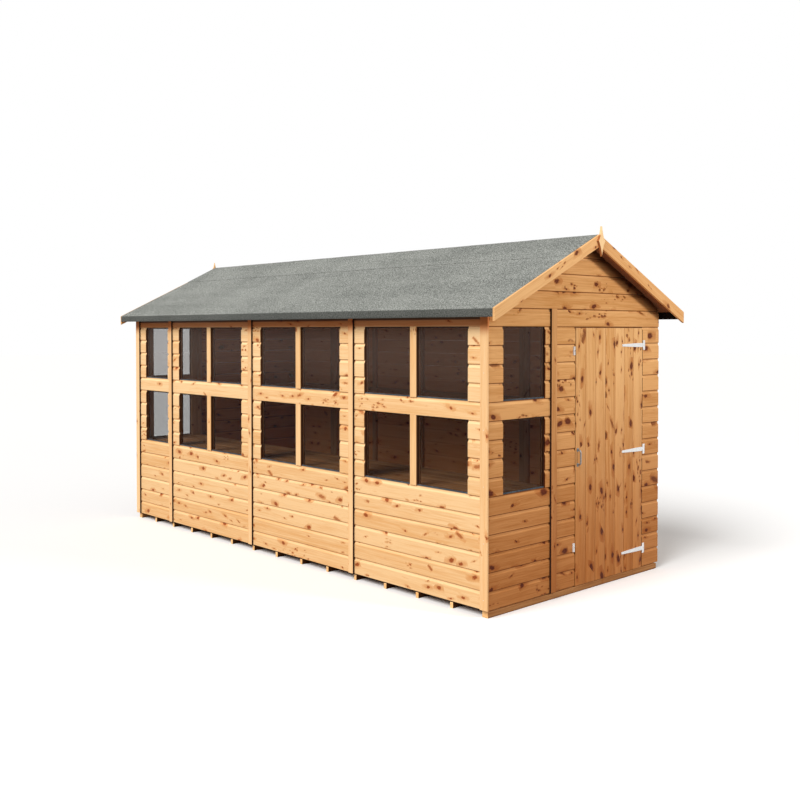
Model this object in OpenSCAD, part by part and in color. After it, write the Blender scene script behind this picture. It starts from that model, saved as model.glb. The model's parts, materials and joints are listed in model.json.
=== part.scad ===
// Apex garden shed, 14 by 6 ft nominal: shiplap panels on a boarded floor, a felted roof,
// double rows of windows on one long side, and one ledged door in the front gable.
// Millimetres. X runs across the shed (right seen from the front), Y from the door to the
// rear gable, Z up from the ground. The origin is under the middle of the roof.

/* [Walls] */
// Outside length of the walls, over the cladding
shed_length = 4190; // [3600:10:4800]
// Outside width of the walls, over the cladding
shed_width = 1780; // [1700:10:1900]
// Width of a wall panel, cover strip included
panel_w = 1190; // [1150:5:1220]
// Thickness of the cladding boards
cladding_t = 12; // [10:1:16]
// Depth of the framing behind the cladding
frame_d = 28; // [24:1:45]
// Face width of the framing
stud_w = 44; // [34:1:50]
// Height that each board covers
board_cover = 110; // [105:1:115]

/* [Floor] */
// Height of a floor bearer
bearer_h = 36; // [24:1:45]
// Width of an inner floor bearer
bearer_w = 24; // [20:1:45]
// Number of floor bearers
bearer_count = 15; // [9:1:19]
// Thickness of the floor boards
floor_t = 10; // [9:1:18]
// How far the bearers' ends stand in from the long sides
bearer_inset = 10; // [0:1:12]
// How far the floor boards stand in from the long sides
floor_inset = 28; // [14:1:34]

/* [Windows] */
// From a side panel's near edge to its window
window_start = 158; // [140:1:170]
// Width of one pane in a wide panel
pane_w = 438; // [420:1:440]
// Width of the mullion between two panes
mullion_w = 58; // [50:1:64]
// Width of the single pane in the narrow side panel
narrow_pane_w = 380; // [360:1:400]
// From the narrow side panel's near edge to its pane
narrow_window_start = 88; // [80:1:110]
// From the corner to the pane in a gable's narrow panel
gable_window_start = 134; // [120:1:150]
// Width of the pane in a gable's narrow panel
gable_pane_w = 391; // [370:1:400]
// Width of a gable's narrow panel
gable_panel_w = 588; // [580:1:600]
// Glass thickness
glass_t = 3; // [2:1:4]

/* [Door] */
// Width of the door leaf
door_w = 748; // [700:1:760]
// Left edge of the door leaf, from the left corner
door_x = 829; // [820:1:850]
// Height of the door leaf
door_h = 1646; // [1614:1:1648]
// Clearance round the leaf
door_gap = 5; // [5:1:8]
// Width that a door stop covers behind the leaf
stop_cover = 13; // [10:1:15]

/* [Roof] */
// How far the eaves overhang the walls
eave_overhang = 95; // [90:1:120]
// How far the roof passes each gable, bargeboard included
gable_overhang = 138; // [110:1:170]
// Top of the felt at the eaves
eave_z = 1799; // [1790:1:1816]
// Top of the felt at the ridge
ridge_z = 2271; // [2200:1:2300]
// Thickness of the roof boards
deck_t = 10; // [8:1:14]
// Thickness of the roofing felt
felt_t = 3; // [2:1:4]
// Height of the felted edge at the eaves
eave_band = 50; // [40:1:58]
// Reach of the ridge felt on each side, measured level
ridge_felt_reach = 307; // [250:1:330]
// Thickness of a bargeboard
barge_t = 16; // [12:1:20]
// Upright depth of a bargeboard
barge_h = 76; // [70:1:95]

/* [Trim and hardware] */
// Width of cover strips on the long sides
trim_w = 48; // [40:1:55]
// Width of cover strips on the gables
gable_strip_w = 54; // [44:1:60]
// Width of corner trims
corner_w = 60; // [50:1:70]
// Thickness of corner trims and cover strips
trim_t = 12; // [10:1:16]
// Height of a finial
finial_h = 188; // [160:1:200]
// Width of a finial
finial_w = 72; // [60:1:90]
// Length of a hinge strap from its pin
strap_l = 245; // [220:1:300]
// Radius of a hinge pin's knuckles
knuckle_r = 5; // [4:0.5:6]
// How far the pull handle stands out from the door
handle_out = 30; // [28:1:45]

/* [Bench] */
// Height of the bench top
bench_z = 701; // [686:1:704]
// Depth of the bench from the inside of the wall
bench_depth = 575; // [500:1:620]
// Thickness of the bench top
bench_t = 18; // [15:1:22]

/* [Hidden] */
$fn = 48;

// Fits between neighbouring pieces
fit = 0.5;
// The outer bearers stand this far in from the gable faces, and the floor's ends this far behind the boards
end_inset = 6;
// A cover strip on a long side starts this far past its joint, and one on a gable this far before it
strip_lap = 6;
gable_strip_lap = 16;
// Left corner trims stand this far past the gable faces
corner_lap = 8;
// Trims stop this far under the roof
trim_head_gap = 8;
// Purlins: distance of each row from the ridge, and their thickness
purlin_x = [300, 600];
purlin_t = 28;
ridge_board_t = 28;
ridge_board_h = 70;
// Foot of the gable rafters, measured in from the framing
rafter_foot = 60;
// The walls stand here
wall_t = cladding_t + frame_d;
wall_x = shed_width / 2;
finial_t = 16;
rear_y = shed_length / 2;
front_y = -rear_y;
floor_top = bearer_h + floor_t;
base_z = floor_top;
last_panel_w = shed_length - 3 * panel_w;
panel_y = [for (i = [0 : 3]) front_y + i * panel_w];

// Heights counted in boards
function course(k) = base_z + k * board_cover;
lower_sill = course(6);
lower_head = course(10);
upper_sill = course(11);
upper_head = course(15);
plate_z = course(16);

// The roof's slope, and heights under it at a distance x from the middle
roof_reach = wall_x + eave_overhang;
rise = (ridge_z - eave_z) / roof_reach;
pitch = atan(rise);
function felt_top(x) = ridge_z - rise * abs(x);
function plumb(t) = t / cos(pitch);
function deck_top(x) = felt_top(x) - plumb(felt_t);
function deck_under(x) = deck_top(x) - plumb(deck_t);
wall_top = deck_under(wall_x) - fit;

// Roof ends inside the bargeboards
roof_y1 = rear_y + gable_overhang - barge_t;
roof_y0 = -roof_y1;

// The door opening and its hinge line, along X
leaf_x0 = -wall_x + door_x;
leaf_x1 = leaf_x0 + door_w;
hole_x0 = leaf_x0 - door_gap;
hole_x1 = leaf_x1 + door_gap;
leaf_t = 12;
leaf_y0 = front_y - 2;
leaf_y1 = leaf_y0 + leaf_t;
// The leaf hangs a little past the foot of the walls
leaf_z0 = base_z - 4;
door_head_t = 22;
ledge_t = 18;
ledge_w = 95;
ledge_side = 30;
ledge_z = [for (h = [164, 788, 1498]) leaf_z0 + h];
hinge_x = leaf_x1 + door_gap / 2;
hinge_y = leaf_y0 - 6;
hinge_z = [for (h = [132, 817, 1530]) leaf_z0 + h];
strap_t = 4;
plate_t = 4;
plate_w = 25;
plate_h = 66;
strap_root_h = 27;
strap_tip_h = 15;
knuckle_gap = 1;
window_split_x = -wall_x + gable_panel_w;
handle_x = leaf_x0 + 20;
handle_z = leaf_z0 + 822;
handle_span = 96;
handle_r = 5;
handle_bend = 18;
catch_z = [for (h = [252, 1501]) leaf_z0 + h];
catch_x = leaf_x0 - 22;
catch_r = 5;
catch_h = 26;
catch_gap = 3;
catch_plate_w = 12;
catch_plate_t = 3;

pine = "#e8bd86";
pine_inside = "#c79a66";
felt_green = "#8f978d";
galvanised = "#c9ccce";

// A block between two corners
module block(lo, hi) translate(lo) cube(hi - lo);

// Two rows of window holes, each hole [start, width], cut through a panel's whole thickness
module window_holes(holes, depth)
  for (h = holes, row = [[lower_sill, lower_head], [upper_sill, upper_head]])
    block([h[0], -1, row[0]], [h[0] + h[1], depth + 1, row[1]]);

// A framed and clad panel lying along +X, its outer face on Y = 0.
// windows: holes as [start, width]; none gives a plain panel with a middle rail.
module panel(width, top, windows = []) {
  x1 = width - fit;
  y0 = cladding_t;
  y1 = wall_t;
  rails = len(windows) > 0
    ? [[base_z, stud_w], [lower_sill - stud_w, stud_w],
       [lower_head, upper_sill - lower_head], [upper_head, stud_w], [top - stud_w, stud_w]]
    : [[base_z, stud_w], [lower_head - stud_w, stud_w], [top - stud_w, stud_w]];
  last = len(windows) - 1;
  studs = last >= 0
    ? concat([0, x1 - stud_w, windows[0][0] - stud_w, windows[last][0] + windows[last][1]],
             last > 0 ? [windows[0][0] + windows[0][1] + (mullion_w - stud_w) / 2] : [])
    : width > 800 ? [0, (x1 - stud_w) / 2, x1 - stud_w] : [0, x1 - stud_w];
  difference() {
    union() {
      block([0, 0, base_z], [x1, cladding_t, top]);
      for (r = rails) block([0, y0, r[0]], [x1, y1, r[0] + r[1]]);
      for (s = studs)
        block([max(0, s), y0, base_z], [min(x1, s + stud_w), y1, top]);
    }
    window_holes(windows, wall_t);
  }
}

wide_windows = [[window_start, pane_w], [window_start + pane_w + mullion_w, pane_w]];
narrow_windows = [[narrow_window_start, narrow_pane_w]];
gable_windows = [[gable_window_start, gable_pane_w]];

// Stands a panel on the left long side (windows) or on the right one.
// Side walls run between the two gable walls, whose edges finish flush with the side boards.
module on_left(i) translate([-wall_x, panel_y[i], 0]) mirror([1, -1, 0]) children();
module on_right(i) translate([wall_x, panel_y[i], 0]) rotate(90) children();

module side_panel(i, glazed) {
  width = i == 3 ? last_panel_w : panel_w;
  // the end panels stop at the gable walls
  difference() {
    panel(width, wall_top, glazed ? (i == 3 ? narrow_windows : wide_windows) : []);
    if (i == 0) block([-1, -1, 0], [wall_t + fit, wall_t + 1, wall_top + 1]);
    if (i == 3) block([width - wall_t - fit, -1, 0], [width + 1, wall_t + 1, wall_top + 1]);
  }
}

module left_panel(i) color(pine) on_left(i) side_panel(i, true);
module right_panel(i) color(pine) on_right(i) side_panel(i, false);

module left_panel_1() left_panel(0);
module left_panel_2() left_panel(1);
module left_panel_3() left_panel(2);
module left_panel_4() left_panel(3);
module right_panel_1() right_panel(0);
module right_panel_2() right_panel(1);
module right_panel_3() right_panel(2);
module right_panel_4() right_panel(3);

// Floor: bearers across the shed, then one deck of boards
module floor_bearers() color(pine) {
  x = wall_x - bearer_inset;
  step = shed_length / (bearer_count - 1);
  for (i = [0 : bearer_count - 1]) {
    edge = i == 0 || i == bearer_count - 1;
    w = edge ? stud_w : bearer_w;
    y = i == 0 ? front_y + end_inset
      : i == bearer_count - 1 ? rear_y - end_inset - w : front_y + i * step - w / 2;
    block([-x, y, 0], [x, y + w, bearer_h]);
  }
}

module floor_boards() color(pine_inside) {
  x = wall_x - floor_inset;
  inset = leaf_t + end_inset;
  block([-x, front_y + inset, bearer_h], [x, rear_y - inset, floor_top]);
}

// Gable walls. The narrow window panel stands next to the glazed side at both ends.
module front_window_panel() color(pine) translate([-wall_x, front_y, 0])
  panel(window_split_x + wall_x, plate_z - fit, gable_windows);

module rear_window_panel() color(pine) translate([-wall_x, rear_y, 0]) mirror([0, 1, 0])
  panel(window_split_x + wall_x, plate_z - fit, gable_windows);

module rear_plain_panel() color(pine) translate([window_split_x, rear_y, 0]) mirror([0, 1, 0])
  panel(wall_x - window_split_x + fit, plate_z - fit);

// Wall beside the door, from x0 to x1, with a stud at each edge
module door_post(x0, x1) {
  block([x0, front_y, base_z], [x1, front_y + cladding_t, upper_head - fit]);
  block([x0, front_y + cladding_t, base_z], [x0 + stud_w, front_y + wall_t, upper_head - fit]);
  block([x1 - stud_w, front_y + cladding_t, base_z], [x1, front_y + wall_t, upper_head - fit]);
  for (z = [base_z, lower_head - stud_w, upper_head - stud_w - fit])
    block([x0, front_y + cladding_t, z], [x1, front_y + wall_t, z + stud_w]);
}

module door_post_left() color(pine) door_post(window_split_x, hole_x0);
module door_post_right() color(pine) door_post(hole_x1, wall_x);

module front_over_door() color(pine)
  block([window_split_x, front_y, upper_head], [wall_x, front_y + wall_t, plate_z - fit]);

// The triangle above the panels, down to the plate
module gable_top() {
  outline = [[-wall_x, plate_z], [wall_x, plate_z], [wall_x, wall_top], [0, deck_under(0) - fit],
             [-wall_x, wall_top]];
  translate([0, cladding_t, 0]) rotate([90, 0, 0]) linear_extrude(cladding_t) polygon(outline);
  // plate along the bottom and two rafters under the boards
  block([-wall_x + wall_t, cladding_t, plate_z], [wall_x - wall_t, wall_t, plate_z + purlin_t]);
  for (side = [-1, 1]) {
    rafter = [[side * (wall_x - wall_t), plate_z], [side * (wall_x - wall_t), deck_under(wall_x - wall_t) - fit],
              [0, deck_under(0) - fit], [0, deck_under(0) - fit - plumb(stud_w)],
              [side * (wall_x - wall_t - rafter_foot), plate_z]];
    translate([0, wall_t, 0]) rotate([90, 0, 0]) linear_extrude(frame_d) polygon(rafter);
  }
}

module front_gable_top() color(pine) translate([0, front_y, 0]) gable_top();
module rear_gable_top() color(pine) translate([0, rear_y, 0]) mirror([0, 1, 0]) gable_top();

// Stops behind the leaf: two uprights and a head, each its own strip
module door_frame() color(pine_inside) {
  y0 = leaf_y1 + door_gap;
  y1 = front_y + wall_t;
  z1 = upper_head - fit;
  head = door_head_t;
  block([hole_x0 + fit, y0, floor_top + fit], [leaf_x0 + stop_cover, y1, z1 - head - 1]);
  block([leaf_x1 - stop_cover, y0, floor_top + fit], [hole_x1 - fit, y1, z1 - head - 1]);
  block([hole_x0 + fit, y0, z1 - head], [hole_x1 - fit, y1, z1]);
}

// Trims and strips over the joints.
// The left corner trims cover the gables' edges, and the right ones stand behind the gable boards.
module corner_trims() color(pine)
  for (side = [-1, 1], end = [-1, 1]) {
    y = end * (rear_y + (side < 0 ? corner_lap : -cladding_t));
    block([side > 0 ? wall_x : -wall_x - trim_t, min(y, y - end * corner_w), base_z],
          [side > 0 ? wall_x + trim_t : -wall_x, max(y, y - end * corner_w), wall_top - trim_head_gap]);
  }

module side_cover_strips() color(pine)
  for (side = [-1, 1], i = [1 : 3])
    block([side > 0 ? wall_x : -wall_x - trim_t, panel_y[i] + strip_lap, base_z],
          [side > 0 ? wall_x + trim_t : -wall_x, panel_y[i] + strip_lap + trim_w, wall_top - trim_head_gap]);

module gable_cover_strips() color(pine) {
  x = window_split_x - gable_strip_lap;
  for (y = [front_y - trim_t, rear_y])
    block([x, y, base_z], [x + gable_strip_w, y + trim_t, plate_z]);
}

// Roof timbers: a ridge board and two purlins on each slope
module roof_purlins() color(pine_inside) {
  y0 = front_y + wall_t + fit;
  y1 = rear_y - wall_t - fit;
  top = deck_under(0) - fit;
  half = ridge_board_t / 2;
  translate([0, y1, 0]) rotate([90, 0, 0]) linear_extrude(y1 - y0)
    polygon([[0, top], [half, top - half * rise], [half, top - ridge_board_h],
             [-half, top - ridge_board_h], [-half, top - half * rise]]);
  for (side = [-1, 1], x = purlin_x)
    translate([side * x, (y0 + y1) / 2, deck_under(x) - fit])
      rotate([0, side * pitch, 0])
        translate([0, 0, -stud_w / 2]) cube([purlin_t, y1 - y0, stud_w], center = true);
}

// One slope of a sheet on the roof, on the side given by its sign
module slope(side, x0, x1, offset, t, y0, y1) {
  a = offset;
  b = offset + plumb(t);
  translate([0, y1, 0]) rotate([90, 0, 0]) linear_extrude(y1 - y0)
    polygon([[side * x0, felt_top(x0) - a], [side * x1, felt_top(x1) - a],
             [side * x1, felt_top(x1) - b], [side * x0, felt_top(x0) - b]]);
}

module roof_deck(side) color(pine_inside)
  slope(side, fit / 2, roof_reach - felt_t - fit, plumb(felt_t), deck_t, roof_y0 + fit, roof_y1 - fit);
module roof_deck_left() roof_deck(-1);
module roof_deck_right() roof_deck(1);

// The batten under the edge of the roof boards
batten_w = 28;
batten_z0 = eave_z - eave_band + felt_t;
module eave_battens() color(pine_inside)
  for (side = [-1, 1]) {
    x1 = roof_reach - felt_t - fit;
    x0 = x1 - batten_w;
    translate([0, roof_y1 - fit, 0]) rotate([90, 0, 0]) linear_extrude(roof_y1 - roof_y0 - 2 * fit)
      polygon([[side * x0, deck_under(x0) - fit / 2], [side * x1, deck_under(x1) - fit / 2],
               [side * x1, batten_z0], [side * x0, batten_z0]]);
  }

// Felt over a slope, turned down over the edge and under the batten
module roof_felt(side) color(felt_green) {
  x1 = roof_reach;
  x0 = x1 - batten_w - felt_t;
  z0 = eave_z - eave_band;
  translate([0, roof_y1, 0]) rotate([90, 0, 0]) linear_extrude(roof_y1 - roof_y0)
    polygon([[side * fit / 2, ridge_z - rise * fit / 2], [side * x1, eave_z], [side * x1, z0],
             [side * x0, z0], [side * x0, z0 + felt_t - fit], [side * (x1 - felt_t), z0 + felt_t - fit],
             [side * (x1 - felt_t), felt_top(x1 - felt_t) - plumb(felt_t) + fit / 4],
             [side * fit / 2, deck_top(fit / 2) + fit / 4]]);
}
module roof_felt_left() roof_felt(-1);
module roof_felt_right() roof_felt(1);

// The last sheet, folded over the ridge
module ridge_felt() color(felt_green) {
  x = ridge_felt_reach;
  lift = plumb(felt_t);
  translate([0, roof_y1, 0]) rotate([90, 0, 0]) linear_extrude(roof_y1 - roof_y0)
    polygon([[0, ridge_z + lift], [x, felt_top(x) + lift], [x, felt_top(x) + fit / 4], [0, ridge_z + fit / 4],
             [-x, felt_top(x) + fit / 4], [-x, felt_top(x) + lift]]);
}

// Bargeboards with plumb-cut ends. The front ones stand a little above the felt and past its edge,
// and the rear ones a little below both.
barge_proud = 2;
barge_past = 3;
front_barge_y = roof_y0 - barge_t;
rear_barge_y = roof_y1;
module bargeboard(side, end) color(pine) {
  top = ridge_z - end * barge_proud;
  reach = roof_reach - end * barge_past;
  foot = felt_top(reach) - end * barge_proud;
  translate([0, (end < 0 ? front_barge_y : rear_barge_y) + barge_t, 0]) rotate([90, 0, 0])
    linear_extrude(barge_t)
      polygon([[side * fit / 2, top], [side * reach, foot], [side * reach, foot - barge_h],
               [side * fit / 2, top - barge_h]]);
}
module front_barge_left() bargeboard(-1, -1);
module front_barge_right() bargeboard(1, -1);
module rear_barge_left() bargeboard(-1, 1);
module rear_barge_right() bargeboard(1, 1);

// Finial: a four-pointed diamond whose sides curve in. A power of sine and cosine above 2
// hollows the outline, and 2 would leave it straight.
finial_drop = 42;
finial_z = ridge_z - finial_drop;
function hollow(v) = sign(v) * pow(abs(v), 2.7);
module finial(y) color(pine)
  translate([0, y + finial_t, finial_z]) rotate([90, 0, 0]) linear_extrude(finial_t)
    polygon([for (a = [0 : 9 : 351]) [finial_w / 2 * hollow(cos(a)), finial_h / 2 * hollow(sin(a))]]);
module front_finial() finial(front_barge_y - finial_t);
module rear_finial() finial(rear_barge_y + barge_t);

// Glass, set just behind the cladding
glass_y = cladding_t + 2;
module panes(holes)
  for (h = holes, row = [[lower_sill, lower_head], [upper_sill, upper_head]])
    block([h[0] + fit, glass_y, row[0] + fit], [h[0] + h[1] - fit, glass_y + glass_t, row[1] - fit]);

module side_window_glass() color("#9fb0b5", 0.4)
  for (i = [0 : 3]) on_left(i) panes(i == 3 ? narrow_windows : wide_windows);

module gable_window_glass() color("#9fb0b5", 0.4) {
  translate([-wall_x, front_y, 0]) panes(gable_windows);
  translate([-wall_x, rear_y, 0]) mirror([0, 1, 0]) panes(gable_windows);
}

// Potting bench along the glazed side
bench_gap = 2;
bench_x0 = -wall_x + wall_t + bench_gap;
bench_x1 = -wall_x + wall_t + bench_depth;
bench_y0 = front_y + wall_t + bench_gap;
bench_y1 = rear_y - wall_t - bench_gap;
// Thickness of the bench's rails and legs, and how far the top stands over the front legs
bench_rail_t = 28;
bench_nose = 20;
module bench_top() color(pine_inside)
  block([bench_x0, bench_y0, bench_z - bench_t], [bench_x1, bench_y1, bench_z]);

module bench_frame() color(pine_inside) {
  under = bench_z - bench_t - fit;
  leg = stud_w;
  legs = 4;
  step = (bench_y1 - bench_y0 - leg) / (legs - 1);
  x = bench_x1 - bench_nose - leg;
  t = bench_rail_t;
  block([x, bench_y0, under - leg], [x + t, bench_y1, under]);
  block([bench_x0, bench_y0, under - leg], [bench_x0 + t, bench_y1, under]);
  for (i = [0 : legs - 1]) {
    y = bench_y0 + i * step;
    block([x, y, floor_top + fit], [x + t, y + leg, under]);
    block([bench_x0, y, under - leg], [x + t, y + t, under]);
  }
}

// Door: boards, then ledges and braces on the inside
module door_leaf() color(pine) block([leaf_x0, leaf_y0, leaf_z0], [leaf_x1, leaf_y1, leaf_z0 + door_h]);

module door_ledges() color(pine_inside) {
  x0 = leaf_x0 + ledge_side;
  x1 = leaf_x1 - ledge_side;
  for (z = ledge_z)
    block([x0, leaf_y1 + fit / 5, z - ledge_w / 2], [x1, leaf_y1 + ledge_t, z + ledge_w / 2]);
  // braces rise from the hinge side
  for (i = [0 : 1]) {
    z0 = ledge_z[i] + ledge_w / 2 - 2;
    z1 = ledge_z[i + 1] - ledge_w / 2 + 2;
    translate([0, leaf_y1 + ledge_t, 0]) rotate([90, 0, 0]) linear_extrude(ledge_t - fit / 5)
      polygon([[x1 - 10, z0], [x1 - 10 - ledge_w, z0], [x0 + 10, z1], [x0 + 10 + ledge_w, z1]]);
  }
}

// T hinges: a knuckle on the strap turns between two on the plate
module hinge_straps() color(galvanised)
  for (z = hinge_z) {
    translate([hinge_x, hinge_y, z - strap_root_h / 2]) cylinder(r = knuckle_r, h = strap_root_h);
    translate([hinge_x, leaf_y0 - fit / 5, z]) rotate([90, 0, 0]) linear_extrude(strap_t)
      polygon([[0, strap_root_h / 2], [-60, strap_root_h / 2], [-strap_l, strap_tip_h / 2],
               [-strap_l, -strap_tip_h / 2], [-60, -strap_root_h / 2], [0, -strap_root_h / 2]]);
  }

module hinge_plates() color(galvanised)
  for (z = hinge_z) {
    reach = (plate_h - strap_root_h) / 2 - knuckle_gap;
    block([hinge_x + knuckle_r + 1, front_y - plate_t - fit / 5, z - plate_h / 2],
          [hinge_x + plate_w, front_y - fit / 5, z + plate_h / 2]);
    for (end = [0, 1]) {
      z0 = end == 0 ? z - plate_h / 2 : z + plate_h / 2 - reach;
      translate([hinge_x, hinge_y, z0]) cylinder(r = knuckle_r, h = reach);
      block([hinge_x, front_y - plate_t - fit / 5, z0], [hinge_x + knuckle_r + 2, front_y - fit / 5, z0 + reach]);
    }
  }

// Pull handle: a bowed bar on two round feet
module pull_handle() color("#5c5f60") translate([handle_x, leaf_y0 - fit / 5, handle_z]) {
  grip = handle_span - 2 * handle_bend;
  leg = handle_out - handle_r - handle_bend;
  translate([0, -(handle_out - handle_r), -grip / 2]) cylinder(r = handle_r, h = grip);
  for (side = [-1, 1]) {
    translate([0, 0, side * handle_span / 2]) rotate([90, 0, 0]) {
      cylinder(r = handle_r, h = leg);
      cylinder(r = 12, h = 3);
    }
    translate([0, -leg, side * grip / 2]) rotate([0, 0, -90]) rotate([90, 0, 0])
      rotate([0, 0, side > 0 ? 0 : -90]) rotate_extrude(angle = 90) translate([handle_bend, 0]) circle(r = handle_r);
  }
}

// Catches: a plate on the post, just left of the gap, with two round lugs one above the other
module door_catches() color(galvanised)
  for (z = catch_z) {
    h = 2 * catch_h + catch_gap;
    block([catch_x - catch_plate_w / 2, front_y - catch_plate_t, z - h / 2],
          [catch_x + catch_plate_w / 2, front_y - fit / 5, z + h / 2]);
    for (side = [-1, 1])
      translate([catch_x, front_y - catch_plate_t - catch_r + 1, z + side * (catch_h + catch_gap) / 2])
        cylinder(r = catch_r, h = catch_h, center = true);
  }

floor_bearers();
floor_boards();
left_panel_1();
left_panel_2();
left_panel_3();
left_panel_4();
right_panel_1();
right_panel_2();
right_panel_3();
right_panel_4();
front_window_panel();
door_post_left();
door_post_right();
front_over_door();
front_gable_top();
door_frame();
rear_window_panel();
rear_plain_panel();
rear_gable_top();
corner_trims();
side_cover_strips();
gable_cover_strips();
roof_purlins();
roof_deck_left();
roof_deck_right();
eave_battens();
roof_felt_left();
roof_felt_right();
ridge_felt();
front_barge_left();
front_barge_right();
rear_barge_left();
rear_barge_right();
front_finial();
rear_finial();
side_window_glass();
gable_window_glass();
bench_top();
bench_frame();
hinge_plates();
door_catches();
door_leaf();
door_ledges();
hinge_straps();
pull_handle();
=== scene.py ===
# %% [markdown]
# # A garden shed, board by board
# The shed is made the way a joiner makes it: shiplap boards nailed to a light frame, panels that meet
# under cover strips, a floor on bearers, and felt over roof boards. It could be a few boxes with planks
# painted on them, but real boards give real joints, edges and shadows from every side. The packed CAD
# model is the fixed frame: it says where every piece goes, and the cells below dress it with boards, eased
# edges, heads of nails and finishes.

# %% Load the frame
import json
import math

import bmesh
import bpy
import numpy as np
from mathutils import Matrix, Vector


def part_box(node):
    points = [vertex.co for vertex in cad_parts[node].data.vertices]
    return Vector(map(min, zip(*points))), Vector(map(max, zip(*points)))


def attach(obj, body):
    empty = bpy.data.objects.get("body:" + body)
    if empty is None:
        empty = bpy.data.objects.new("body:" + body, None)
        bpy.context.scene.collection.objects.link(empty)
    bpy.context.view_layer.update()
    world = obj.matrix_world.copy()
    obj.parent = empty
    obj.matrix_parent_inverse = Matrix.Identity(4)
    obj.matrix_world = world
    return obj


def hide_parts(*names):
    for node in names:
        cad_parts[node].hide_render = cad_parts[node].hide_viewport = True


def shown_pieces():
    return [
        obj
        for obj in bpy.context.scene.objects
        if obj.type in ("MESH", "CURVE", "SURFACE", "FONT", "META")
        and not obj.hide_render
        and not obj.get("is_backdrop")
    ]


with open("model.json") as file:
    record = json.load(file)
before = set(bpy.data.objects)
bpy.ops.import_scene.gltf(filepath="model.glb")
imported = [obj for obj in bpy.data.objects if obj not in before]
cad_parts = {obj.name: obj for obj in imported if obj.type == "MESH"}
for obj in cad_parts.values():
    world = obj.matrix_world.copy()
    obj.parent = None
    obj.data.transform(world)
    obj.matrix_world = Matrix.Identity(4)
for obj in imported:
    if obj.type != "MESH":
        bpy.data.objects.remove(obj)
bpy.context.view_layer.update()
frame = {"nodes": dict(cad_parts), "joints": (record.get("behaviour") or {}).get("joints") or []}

# %% [markdown]
# ## Sizes that the boards share
# Most places come from the frame: a pane of glass says where its window is, and a strip's box says where
# the strip is. Reading them keeps the boards right when the CAD model changes. Only what the CAD model
# leaves out, such as the shape of a board's edge, is a value of its own.

# %% Boards and framing
COVER = 0.110  # height that each shiplap board covers
CLAD = 0.012  # thickness of the boards
FRAME = 0.028  # depth of the framing behind them
STUD = 0.044  # face width of the framing
FIT = 0.0005  # fit between neighbours
WALL = CLAD + FRAME


def corners(node):
    """The lowest and highest corner of a CAD node as arrays."""
    lo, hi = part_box(node)
    return np.array(lo), np.array(hi)


base_z = corners("left_panel_1")[0][2]
wall_top = corners("left_panel_1")[1][2]
side_x = -corners("left_panel_1")[0][0]
front_y = corners("front_window_panel")[0][1]
rear_y = corners("rear_window_panel")[1][1]
plate, apex = corners("front_gable_top")[0][2], corners("front_gable_top")[1][2]
SLOPE = (apex - wall_top) / side_x  # rise of the roof for each metre across
print("walls:", round(2 * side_x, 3), "x", round(rear_y - front_y, 3), "m, boards from", round(base_z, 3))

# %% [markdown]
# ## Many solids in one node
# A node such as the bearers holds many separate solids, and each needs its own board. Their boxes could be
# written down again here, but then they could go wrong. Instead they are found in the node's own mesh:
# triangles that share a corner belong to the same solid.

# %% Separate solids


def solids(node):
    """The boxes of the separate solids in a CAD node, as two arrays of corners.

    Each triangle hands the smallest label of its corners to all three of them, until no label changes."""
    mesh = frame["nodes"][node].data
    points = np.empty(len(mesh.vertices) * 3, np.float32)
    mesh.vertices.foreach_get("co", points)
    points = points.reshape(-1, 3)
    corner = np.empty(len(mesh.loops), np.int32)
    mesh.loops.foreach_get("vertex_index", corner)
    same = np.unique(np.round(points * 1e5).astype(int), axis=0, return_inverse=True)[1].ravel()
    triangle = same[corner].reshape(-1, 3)
    label = np.arange(same.max() + 1)
    while True:
        least = np.broadcast_to(label[triangle].min(1)[:, None], triangle.shape)
        lower = label.copy()
        np.minimum.at(lower, triangle, least)
        if (lower == label).all():
            break
        label = lower
    names, group = np.unique(label[same], return_inverse=True)
    lo = np.full((len(names), 3), np.inf)
    hi = -lo
    np.minimum.at(lo, group, points)
    np.maximum.at(hi, group, points)
    return lo, hi


print("bearers:", len(solids("floor_bearers")[0]))

# %% [markdown]
# ## Shader maths as plain expressions
# A finish is a small program. Written as nodes it's hard to read, so a value in it is wrapped in a class
# whose operators add the Math nodes: `1 - knot * 0.5` reads as it would on paper.

# %% A value in a finish


class Value:
    """A socket with one number in it. Arithmetic on it adds Math nodes and gives a new Value."""

    def __init__(self, finish, socket):
        self.finish = finish
        self.socket = socket

    def math(self, operation, *others, clamp=False):
        """A Math node with this value in its first socket."""
        settings = {"operation": operation, "use_clamp": clamp}
        return self.finish.node("Math", settings, dict(enumerate((self, *others))))

    def swapped(self, operation, other):
        """A Math node with this value in its second socket, as 1 - x and 1 / x need it."""
        return self.finish.node("Math", {"operation": operation}, {0: other, 1: self})

    def __add__(self, other):
        return self.math("ADD", other)

    def __sub__(self, other):
        return self.math("SUBTRACT", other)

    def __rsub__(self, other):
        return self.swapped("SUBTRACT", other)

    def __mul__(self, other):
        return self.math("MULTIPLY", other)

    def __truediv__(self, other):
        return self.math("DIVIDE", other)

    def __rtruediv__(self, other):
        return self.swapped("DIVIDE", other)

    __radd__ = __add__
    __rmul__ = __mul__

    def ease(self, start, end):
        """A smooth step: 0 where the value is at start, 1 where it is at end, with level ends."""
        sockets = {"Value": self, "From Min": start, "From Max": end, "To Min": 0.0, "To Max": 1.0}
        return self.finish.node("MapRange", {"interpolation_type": "SMOOTHSTEP"}, sockets)


print("reflected forms:", [name for name in vars(Value) if name.startswith("__r")])

# %% [markdown]
# ## Writing a finish
# A finish holds the node tree and has one method that makes any node. Settings go in before the sockets,
# because a setting such as a Math node's operation can change which sockets there are. A few short forms,
# for noise and for blending colours, keep the finishes below readable.

# %% A finish and its nodes


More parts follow.
